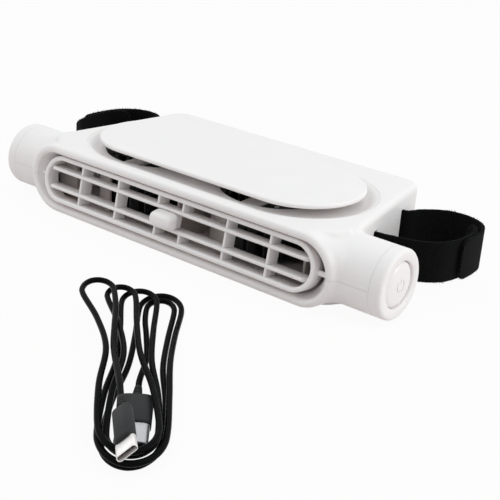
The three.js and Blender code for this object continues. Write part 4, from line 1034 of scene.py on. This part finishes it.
class FAN_OT_outlet(bpy.types.Operator):
    """Mould the slatted outlet, its pivot pins and its tilt tab"""
    bl_idname = "fan.outlet"
    bl_label = "Slatted outlet"

    def ring(self, bm, outlet):
        """The outlet's ring, with its edges rounded."""
        edge = outlet.rim * outlet.rim_round
        front, back = edge - outlet.depth / 2, outlet.depth / 2 - edge
        outer, inner = outlet.grille_radius - edge, outlet.grille_radius - outlet.rim + edge
        centres = ((outer, back), (inner, back), (inner, front), (outer, front))
        profile = [point for number, centre in enumerate(centres)
                   for point in arc(centre, edge, 90 * number, 90 * number + 90, 4)]
        loft(bm, [upright(outlet.grille_half, r, y) for r, y in profile], 128, True)

    def slats(self, bm, outlet):
        """Blades with rounded noses, upright ribs and pivot pins."""
        front, back = -outlet.depth / 2, outlet.depth / 2
        inner = outlet.grille_radius - outlet.rim / 2
        nose = outlet.blade_thick / 2
        tail = nose * outlet.blade_tail
        for z in (-outlet.blade_height, outlet.blade_height):
            reach = outlet.grille_half + math.sqrt(inner**2 - (abs(z) + nose) ** 2)
            shape = [*arc((front + nose, z), nose, 90, 270, 8), (back, z - tail), (back, z + tail)]
            for vert in drawn(bm, [(-reach, y, height) for y, height in shape], (2 * reach, 0, 0)):
                ahead = max(0.0, 1 - (vert.co.y - front) / outlet.tip_slope)
                vert.co.x -= math.copysign(outlet.tip_slope * ahead, vert.co.x)
        places = (-outlet.outer_rib, -outlet.inner_rib, outlet.inner_rib, outlet.outer_rib)
        ribs = [(x, -inner, inner) for x in places]
        for x in (-outlet.middle_rib, outlet.middle_rib):
            ribs += [(x, -inner, -outlet.blade_height), (x, outlet.blade_height, inner)]
        half = outlet.rib_thick / 2
        for x, low, high in ribs:
            verts = block(bm, (x - half, front + outlet.rib_setback, low), (x + half, back, high))
            noses = [edge for edge in edges_at(verts)
                     if all(end.co.y < 0 for end in edge.verts) and span(edge, 2) > outlet.rib_thick]
            rounded(bm, noses, half * outlet.rib_nose, 4)
        for side in (-1, 1):
            root = side * (outlet.grille_half + inner)
            rod(bm, outlet.pin_radius, (root, 0, 0), (root + side * outlet.pin_length, 0, 0))

    def tab(self, bm, outlet):
        """The tab's smooth head, with its tang in the cell behind."""
        root = -outlet.depth / 2 - FIT
        front = root - outlet.tab_out
        wide, tall = outlet.tab_width / 2, outlet.tab_height / 2
        verts = block(bm, (-wide, front, -tall), (wide, root, tall))
        for vert in verts:
            if vert.co.y < root - outlet.tab_out / 2:
                vert.co.x *= outlet.tab_narrow
                vert.co.z *= outlet.tab_flat
        sides = [edge for edge in edges_at(verts) if span(edge, 1) > outlet.tab_out / 2]
        rounded(bm, sides, tall * outlet.tab_side, 10)
        for y, soft in ((front, outlet.tab_front), (root, outlet.tab_root)):
            rim = [edge for edge in bm.edges if all(abs(vert.co.y - y) < SAME for vert in edge.verts)]
            rounded(bm, rim, soft, 8)
        tang = wide * outlet.tang_width
        rise = outlet.blade_height - outlet.blade_thick / 2 - FIT
        block(bm, (-tang, root - outlet.tang_ahead, -rise),
              (tang, outlet.tang_back - outlet.depth / 2, rise))

    def execute(self, context):
        outlet = context.scene.fan_outlet
        lean = Matrix.Translation((0, outlet.pivot, 0)) @ Matrix.Rotation(-outlet.tilt, 4, "X")
        slats, tab = bmesh.new(), bmesh.new()
        self.ring(slats, outlet)
        self.slats(slats, outlet)
        self.tab(tab, outlet)
        for name, bm, node in (("slatted_outlet", slats, "outlet_grille"), ("tilt_knob", tab, "tilt_tab")):
            bmesh.ops.transform(bm, matrix=lean, verts=bm.verts)
            seat_piece(name, bm, [node], body="grille", sharp=50)
        return {"FINISHED"}


class FAN_OT_ends(bpy.types.Operator):
    """Turn the two end caps, the domed push button and its raised power sign"""
    bl_idname = "fan.ends"
    bl_label = "End caps and button"

    def cap_profile(self, shell, ends, hole, face):
        """Profile of a cap: its face, the opening's edge, the rounded rim and the spigot inside the bar."""
        end, soft, edge = ends.end, ends.cap_round, ends.hole_edge
        inside = end - ends.cap_width
        bore = shell.bar_radius - shell.wall - FIT
        throat = bore - ends.spigot_wall
        rim = arc((end - soft, shell.bar_radius - soft), soft, 0, 90, 10)
        return [*face, (end - edge, hole), (end - edge * 3 / 7, hole + edge * 2 / 7), (end, hole + edge),
                *rim, (inside, shell.bar_radius), (inside, bore), (inside - ends.spigot, bore),
                (inside - ends.spigot, throat), (end - ends.cap_depth, throat), face[0]]

    def button_profile(self, ends, crown, back):
        """Profile of the button: its crown, shoulder, flange behind the cap, hollow and stem."""
        radius, base = ends.button_radius, crown - ends.button_dome
        flange = back - FIT
        brim, tail = radius + ends.flange_out, flange - ends.flange_thick
        inside, ceiling = radius - ends.button_wall, base - ends.button_wall
        bulge = ends.button_dome * ends.bulge_depth
        turns = [math.radians(degrees) for degrees in range(0, 73, 6)]
        return [*[(crown - bulge * (1 - math.cos(turn)), radius * ends.bulge_width * math.sin(turn))
                  for turn in turns],
                *arc((base, radius - ends.button_edge), ends.button_edge, 32, 90, 4),
                (flange, radius), (flange, brim), (tail, brim), (tail, inside), (ceiling, inside),
                (ceiling, ends.stem), (flange - FIT, ends.stem), (flange - FIT, 0)]

    def sign(self, ends, crown):
        """A ring with a gap at the top and a short bar in the gap, raised a little from the dome."""
        line, radius, half = ends.sign_line, ends.sign_radius, ends.sign_rise / 2
        low, high = 0.35 * radius, 1.2 * radius
        gap, step, overlap = 40, 8, 1.06
        bm = bmesh.new()
        for degrees in range(gap, 360 - gap, step):
            turn = math.radians(degrees + step / 2 + 90)
            place = Matrix.Translation((crown, radius * math.cos(turn), radius * math.sin(turn)))
            size = Matrix.Diagonal((2 * half, line, radius * math.radians(step) * overlap, 1))
            bmesh.ops.create_cube(bm, size=1, matrix=place @ Matrix.Rotation(turn, 4, "X") @ size)
        block(bm, (crown - half, -line / 2, low), (crown + half, line / 2, high))
        return bm

    def execute(self, context):
        scene = context.scene
        shell, ends = scene.fan_shell, scene.fan_ends
        steps = scene.fan_stage.turns
        hole = ends.button_radius + FIT
        back = ends.end - ends.cap_depth
        right = turned(bmesh.new(), self.cap_profile(shell, ends, hole, [(back, hole)]), 1, steps)
        seat_piece("button_cap", right, ["right_end_cap"], sharp=50)
        face = ends.end - ends.recess
        plate = [(back, 0), (face, 0), (face, hole)]
        left = closed_up(turned(bmesh.new(), self.cap_profile(shell, ends, hole, plate), -1, steps))
        cut = [facing(ends.socket_half, ends.socket_radius, x)
               for x in (-ends.end - shell.wall, -back + shell.wall)]
        cap = combine(to_object("inlet_cap", left), "DIFFERENCE", solid("slot", cut, 48))
        dress(cap, ["left_end_cap"], sharp=50)
        crown = ends.end + ends.button_proud
        button = turned(bmesh.new(), self.button_profile(ends, crown, back), 1, steps)
        seat_piece("push_button", button, ["power_button"], body="button", finish="white_button", sharp=50)
        seat_piece("power_sign", self.sign(ends, crown), body="button", finish="white_button")
        return {"FINISHED"}


class FAN_OT_straps(bpy.types.Operator):
    """Lay the two hook-and-loop straps through their slots and round into loops"""
    bl_idname = "fan.straps"
    bl_label = "Straps"

    def route(self, shell, straps, widen, swell):
        """A strap goes out of the front slot, round a post and over its own end, then in at the rear."""
        slope = shell.slab_taper / shell.slab_rear
        wall, thick = shell.wall, straps.thick
        out = shell.slab_width + straps.standout + widen - thick / 2
        inner = out - thick - straps.lap_gap
        front, rear = straps.front_slot, straps.rear_slot
        rearmost = shell.slab_rear - straps.inset + swell
        middle = (front + rear) / 2
        tuck = thick / 3

        def at_wall(y):
            return shell.slab_width - slope * y - wall / 2

        def inside(y):
            return shell.slab_width - slope * y - wall - FIT - thick

        def part(start, end, way):
            return start + (end - start) * way

        way = [(part(at_wall(front), inner, across), part(front, rearmost, back))
               for across, back in UNDER_LAP]
        way += [(at_wall(front), front), (inside(front) - tuck, front + thick),
                (inside(front) - tuck, front + straps.slot), (inside(middle), middle),
                (inside(rear) - tuck, rear - straps.slot), (inside(rear) - tuck, rear - thick),
                (at_wall(rear), rear)]
        way += [(part(at_wall(rear), out, across), part(rear, rearmost, back))
                for across, back in OVER_LAP]
        way += [(out, part(front, rearmost, 0.5)), (out - tuck, part(front, rearmost, 0.4))]
        return smooth_line([Vector((x, y, 0)) for x, y in way], 12)

    def strap(self, context, name, side, widen, swell, node):
        """One strap: a ribbon with round ends along its route, then its thickness and its fibres."""
        shell, straps = context.scene.fan_shell, context.scene.fan_straps
        line = [Vector((side * point.x, point.y, 0)) for point in self.route(shell, straps, widen, swell)]
        travelled = distances(line)
        bm = bmesh.new()
        where = bm.loops.layers.uv.new("strap")
        run = bm.verts.layers.float_vector.new("run")
        half, corner = straps.width / 2, straps.corner
        # Waves of the uneven edge: along the strap, across it, and their slower beat.
        along_wave, across_wave, beat = 900, 40, 371

        def reach(at):
            """Half the strap's width, less at its rounded ends."""
            spare = max(0.0, corner - min(at, travelled[-1] - at))
            return half - corner + math.sqrt(max(0.0, corner**2 - spare**2))

        ends = [bm.verts.new(line[0] + Vector((0, 0, z))) for z in (-half, half)]
        bmesh.ops.subdivide_edges(bm, edges=[bm.edges.new(ends)], cuts=10, use_grid_fill=False)
        for vert in bm.verts:
            vert[run] = (0, vert.co.z, 0)
            vert.co.z *= reach(0) / half
        edges = list(bm.edges)
        for at, here in zip(travelled[1:], line[1:]):
            verts, edges = grown(bmesh.ops.extrude_edge_only(bm, edges=edges))
            for vert in verts:
                across = vert[run].y
                wave = math.sin(at * along_wave + across * across_wave) * math.sin(at * beat)
                frayed = abs(straps.ripple * wave) * (abs(across) / half) ** 8
                height = across * reach(at) / half - math.copysign(frayed, across)
                vert.co = here + Vector((0, 0, height))
                vert[run] = (at, across, 0)
        for face in bm.faces:
            for loop in face.loops:
                loop[where].uv = loop.vert[run].xy
        bmesh.ops.recalc_face_normals(bm, faces=bm.faces)
        made = to_object(name, bm)
        body = made.modifiers.new("thickness", "SOLIDIFY")
        body.thickness = straps.thick * straps.woven
        body.offset = 0
        body.use_even_offset = True
        soft = made.modifiers.new("soft edges", "BEVEL")
        soft.width = straps.thick * straps.soft_edge
        soft.segments = 2
        soft.limit_method = "ANGLE"
        soft.angle_limit = math.radians(60)
        baked(made)
        self.fuzz(made, straps, line, [reach(at) for at in travelled], shell.slab_width + straps.slot)
        dress(made, [node], finish="strap_pile", slot="strap_web", sharp=60)

    def fuzz(self, made, straps, line, reaches, clear):
        """Loose fibres along both edges, outside the slab."""
        draw = random.Random(FIBRE_SEED)
        bm = bmesh.new()
        bm.from_mesh(made.data)
        for _ in range(straps.fibres):
            number = draw.randrange(1, len(line))
            spot = line[number - 1].lerp(line[number], draw.random())
            side = draw.choice((-1, 1))
            long = straps.fibre * draw.uniform(0.3, 1)
            lean = Vector((draw.uniform(-1, 1), draw.uniform(-1, 1), side * draw.uniform(0.6, 1.4)))
            if abs(spot.x) < clear:
                continue
            root = spot + Vector((0, 0, side * (reaches[number] - straps.ripple)))
            rod(bm, straps.fibre_root, root, root + lean.normalized() * long, 3, straps.fibre_tip)
        bm.to_mesh(made.data)
        bm.free()

    def execute(self, context):
        straps = context.scene.fan_straps
        self.strap(context, "right_webbing", 1, 0, 0, "right_strap")
        self.strap(context, "left_webbing", -1, straps.widen, straps.swell, "left_strap")
        return {"FINISHED"}


# Lead


class Hank:
    """The lead's route, as packed: three layers of loops, out and in by turns, and a last fold on top.
    Places are given along the runs (u), across them (v) and above the floor."""
    bend_steps = 8
    run_steps = 4

    def __init__(self, cable):
        self.cable = cable
        self.step = cable.diameter + cable.layer_gap
        self.floor = cable.diameter / 2
        self.points = []
        self.radius = cable.inner
        self.height = self.floor

    def turn_at(self, height):
        """How far the layers are fanned at a height."""
        return self.cable.fan * (2 * (height - self.floor) / (3 * self.step) - 1)

    def put(self, u, v, height, fan=None):
        """Adds a point, fanned as its own height or another one is."""
        turn = self.turn_at(height if fan is None else fan)
        hinge = self.cable.hinge
        arm = Matrix.Rotation(turn, 2) @ Vector((u - hinge, -v))
        self.points.append(Vector((arm.x + hinge, arm.y, height)))

    def inset(self, u):
        """How far a run is drawn in: a taper to the far end and a waist."""
        cable, run = self.cable, self.cable.half_run
        part = max(0.0, min(1.0, (u / run + cable.taper_start) / (1 + cable.taper_start)))
        waist = max(0.0, 1 - ((u - cable.waist_place) / (cable.waist_reach * run)) ** 2) ** 2
        return cable.taper * part * part * (3 - 2 * part) + cable.waist * waist

    def bend(self, end, start, finish, height):
        """A bend at one end, from one radius to another."""
        run = self.cable.half_run
        for i in range(self.bend_steps):
            part = i / self.bend_steps
            turn = (part - 0.5) * math.pi
            radius = start + (finish - start) * part - self.inset(end * run)
            reach = run + self.cable.stretch * radius * math.cos(turn)
            self.put(end * reach, end * radius * math.sin(turn), height)

    def run(self, side, start, finish, low, high):
        """A run along one side, which may climb in its first half and fan in its second."""
        for i in range(self.run_steps):
            part = i / self.run_steps
            u = side * self.cable.half_run * (1 - 2 * part)
            rise = low + (high - low) * min(1, 2 * part)
            fan = low + (high - low) * max(0, 2 * part - 1)
            self.put(u, side * (start + (finish - start) * part - self.inset(u)), rise, fan)

    def wind(self, quarters, way, first):
        """Winds runs and bends by turns, each wider or narrower than the last."""
        change = way * self.cable.pitch / 4
        for kind in range(first, first + quarters):
            after = self.radius + change
            side = (1, -1, -1, 1)[kind % 4]
            if kind % 2:
                self.bend(side, self.radius, after, self.height)
            else:
                self.run(side, self.radius, after, self.height, self.height)
            self.radius = after

    def climb(self, side):
        """A run that climbs to the next layer."""
        self.run(side, self.radius, self.radius, self.height, self.height + self.step)
        self.height += self.step

    def build(self):
        """From the large plug through the three layers to the small plug on top."""
        cable = self.cable
        run, fold, taper = cable.half_run, cable.fold, cable.taper
        lead = cable.plug_a_height / 2 + FIT
        between = self.floor + self.step / 2
        self.put(cable.plug_a_start, 0, lead, between)
        self.put(cable.plug_a_start + 2 * cable.diameter, 0, lead, between)
        self.put(0.008, -0.0012, self.floor)
        self.put(0.5 * run, -0.003, self.floor)
        self.put(0.8 * run, -fold + 0.0005, self.floor)
        self.bend(1, fold + taper, cable.inner, self.floor)
        self.wind(4, 1, 0)
        self.climb(1)
        self.wind(5, -1, 1)
        self.climb(-1)
        self.wind(3, 1, 3)
        self.climb(-1)
        self.bend(1, self.radius, fold + taper, self.height)
        top = self.height - self.step + cable.diameter / 2 + cable.layer_gap + cable.plug_c_rise
        fan = self.height - 0.7 * self.step
        self.put(0.72 * run, fold - 0.0008, self.height)
        self.put(0.36 * run, 0.0024, self.height)
        self.put(0, 0.0002, self.height)
        start, aside = cable.plug_c_start, cable.plug_c_aside
        self.put(start + 4 * cable.diameter, aside + 0.0001, top, fan)
        self.put(start + 2 * cable.diameter, aside, top, fan)
        self.put(start, aside, top, fan)
        self.lead_turn = self.turn_at(between)
        self.top_turn = self.turn_at(fan)
        return self


class FAN_OT_cable(bpy.types.Operator):
    """Wind the USB lead in its hank and fit its two plugs"""
    bl_idname = "fan.cable"
    bl_label = "Lead and plugs"

    def ring(self, size, flat, inset, x):
        """A ring of a plug: a rectangle with soft corners for the flat plug, a stadium for the other."""
        half, rise = size
        if flat:
            return squared(half - inset, rise - inset, x)
        return facing(half, rise - inset, x)

    def relief_profile(self, cable):
        """Profile of a ribbed strain relief that widens from the lead to the plug's body."""
        long, thick = cable.relief, cable.relief_radius
        # One rib and the groove behind it: places along the relief, and radii against the rib's own.
        rib = ((0, 1), (0.09, 1.04), (0.1, 0.86), (0.15, 0.9))
        profile = [(-FIT, 0), (-FIT, thick * 0.72)]
        for number in range(5):
            start = -FIT - long * (0.1 + 0.17 * number)
            radius = thick * (0.76 + 0.06 * number)
            profile += [(start - long * along, radius * swell) for along, swell in rib]
        inside = -FIT - long - cable.relief_sink
        return [*profile, (inside, thick * 1.08), (inside, 0)]

    def plug(self, cable, name, place, flat, body, body_reach, sleeve, sleeve_reach):
        """A plug along -X from its lead: ribbed strain relief, soft body and plated sleeve."""
        back = -FIT - cable.relief
        front = back - body_reach
        edge, blunt = cable.plug_edge, 0.7 * cable.plug_edge
        shoulder = ((1, 0), (0.3, 0.3), (0, 1))
        rings = [self.ring(body, flat, edge * inset, back - edge * x) for inset, x in shoulder]
        rings += [self.ring(body, flat, blunt * inset, front + blunt * x)
                  for inset, x in reversed(shoulder)]
        bm = turned(loft(bmesh.new(), rings, 64), self.relief_profile(cable), 1, 40)
        bmesh.ops.transform(bm, matrix=place, verts=bm.verts)
        soft = seat_piece(name + "_body", bm, [name + "_overmould"], finish="plug_body",
                          slot="plug_rubber", sharp=45)
        wall, rim = cable.sleeve_wall, cable.sleeve_rim
        steps = ((0, 0), (0, sleeve_reach - rim), (rim, sleeve_reach), (wall - rim, sleeve_reach),
                 (wall, sleeve_reach - rim), (wall, wall))
        bm = loft(bmesh.new(), [self.ring(sleeve, flat, inset, front - FIT - x) for inset, x in steps], 64)
        bmesh.ops.transform(bm, matrix=place, verts=bm.verts)
        # The large plug's sleeve takes the darker steel as painted shade, for a sleeve that lies among the
        # strands.
        metal = seat_piece(name + "_sleeve", bm, [name + "_shell"], slot="plug_metal", sharp=45,
                           finish="plain_steel" if flat else "plug_plate")
        return [soft, metal]

    def execute(self, context):
        cable = context.scene.fan_cable
        hank = Hank(cable).build()
        ground = -context.scene.fan_shell.slab_height
        lay = (Matrix.Translation((cable.place_x, cable.place_y, ground))
               @ Matrix.Rotation(cable.turn + math.pi, 4, "Z"))
        line = [lay @ point + SEAT for point in smooth_line(hank.points, 6)]
        curve = bpy.data.curves.new("charge_lead", "CURVE")
        curve.dimensions = "3D"
        curve.bevel_depth = cable.diameter / 2
        curve.bevel_resolution = 4
        curve.use_fill_caps = True
        spline = curve.splines.new("POLY")
        spline.points.add(len(line) - 1)
        for point, here in zip(spline.points, line):
            point.co = (*here, 1)
        spline.use_smooth = True
        lead = bpy.data.objects.new("charge_lead", curve)
        context.scene.collection.objects.link(lead)
        curve.materials.append(finishes()["lead_jacket"])
        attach(lead, "housing")
        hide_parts("usb_cable")

        def laid(end, turn, roll=0):
            """A plug's place at one end of the lead."""
            return (lay @ Matrix.Translation(end) @ Matrix.Rotation(turn, 4, "Z")
                    @ Matrix.Rotation(roll, 4, "X"))

        pieces = self.plug(
            cable, "plug_c", laid(hank.points[-1], hank.top_turn, cable.plug_c_roll), False,
            (cable.plug_c_half, cable.plug_c_radius), cable.plug_c_body,
            (cable.sleeve_c_half, cable.sleeve_c_radius), cable.sleeve_c_reach)
        pieces += self.plug(
            cable, "plug_a", laid(hank.points[0], hank.lead_turn), True,
            (cable.plug_a_width / 2, cable.plug_a_height / 2), cable.plug_a_body,
            (cable.sleeve_a_width / 2, cable.sleeve_a_height / 2), cable.sleeve_a_reach)
        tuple(line[0])
        distances(line)[-1]
        return {"FINISHED"}


class FAN_OT_insides(bpy.types.Operator):
    """Give the blowers, motors, boards, screws and socket their finishes"""
    bl_idname = "fan.insides"
    bl_label = "Insides"

    def execute(self, context):
        made = finishes()
        for name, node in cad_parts.items():
            # The scrolls are white plastic; their darker finish is painted shade.
            if "scroll" in name:
                finish = "duct_white"
            elif "wheel" in name or name == "tact_switch":
                finish = "black_inside"
            elif "screw" in name or "motor" in name or name == "usb_socket":
                finish = "plain_steel"
            elif "board" in name:
                finish = "solder_mask"
            else:
                continue
            node.material_slots[0].material = made[finish]
        return {"FINISHED"}


class FAN_OT_stage(bpy.types.Operator):
    """Set the floor, the soft light and the camera"""
    bl_idname = "fan.stage"
    bl_label = "Stage"

    def lamp(self, scene, name, place, size):
        """A soft rectangular lamp that faces the fan."""
        data = bpy.data.lights.new(name, "AREA")
        data.shape = "RECTANGLE"
        data.size, data.size_y = size
        data.energy = getattr(scene.fan_stage, name)
        data.color = scene.fan_stage.sky_tone
        made = bpy.data.objects.new(name, data)
        made.location = place
        made.rotation_euler = (-Vector(place)).to_track_quat("-Z", "Y").to_euler()
        scene.collection.objects.link(made)

    def execute(self, context):
        scene, stage = context.scene, context.scene.fan_stage
        scene.view_settings.view_transform = "Standard"
        data = bpy.data.cameras.new("camera")
        data.lens = stage.lens
        data.sensor_width = stage.frame_width
        data.sensor_fit = "HORIZONTAL"
        data.clip_start = 0.01
        camera = bpy.data.objects.new("camera", data)
        turn = (Matrix.Rotation(stage.azimuth, 4, "Z")
                @ Matrix.Rotation(math.pi / 2 - stage.elevation, 4, "X")
                @ Matrix.Rotation(stage.roll, 4, "Z"))
        camera.matrix_world = Matrix.Translation(stage.eye) @ turn
        scene.collection.objects.link(camera)
        scene.camera = camera
        scene.world = studio_sky("studio", stage.sky, stage.sky_tone)
        for name, (place, size) in LAMPS.items():
            self.lamp(scene, name, place, size)
        bm = bmesh.new()
        bmesh.ops.create_grid(bm, x_segments=8, y_segments=8, size=stage.floor_half)
        floor = to_object("floor", bm)
        floor.data.materials.append(pale_floor("pale_floor", scene.fan_colours.floor, stage.ghost))
        return {"FINISHED"}


class FAN_PT_panel(bpy.types.Panel):
    """Lists the fan's pieces and sizes"""
    bl_label = "Headrest Fan"
    bl_idname = "FAN_PT_panel"
    bl_space_type = "VIEW_3D"
    bl_region_type = "UI"
    bl_category = "Fan"

    def draw(self, context):
        for operator in OPERATORS:
            self.layout.operator(operator.bl_idname)
        for name, group in SETTINGS.items():
            box = self.layout.box()
            box.label(text=group.__doc__)
            for key in group.__annotations__:
                box.prop(getattr(context.scene, name), key)


OPERATORS = (FAN_OT_stage, FAN_OT_cable, FAN_OT_shells, FAN_OT_cover, FAN_OT_outlet, FAN_OT_ends,
             FAN_OT_straps, FAN_OT_insides)
CLASSES = (*SETTINGS.values(), *OPERATORS, FAN_PT_panel)


def register():
    for each in CLASSES:
        bpy.utils.register_class(each)
    for name, group in SETTINGS.items():
        setattr(bpy.types.Scene, name, PointerProperty(type=group))


def unregister():
    for name in SETTINGS:
        delattr(bpy.types.Scene, name)
    for each in reversed(CLASSES):
        bpy.utils.unregister_class(each)


def main():
    register()
    bpy.ops.fan.stage()
    bpy.ops.fan.cable()
    bpy.ops.fan.shells()
    bpy.ops.fan.cover()
    bpy.ops.fan.outlet()
    bpy.ops.fan.ends()
    bpy.ops.fan.straps()
    bpy.ops.fan.insides()


if __name__ == "__main__":
    main()
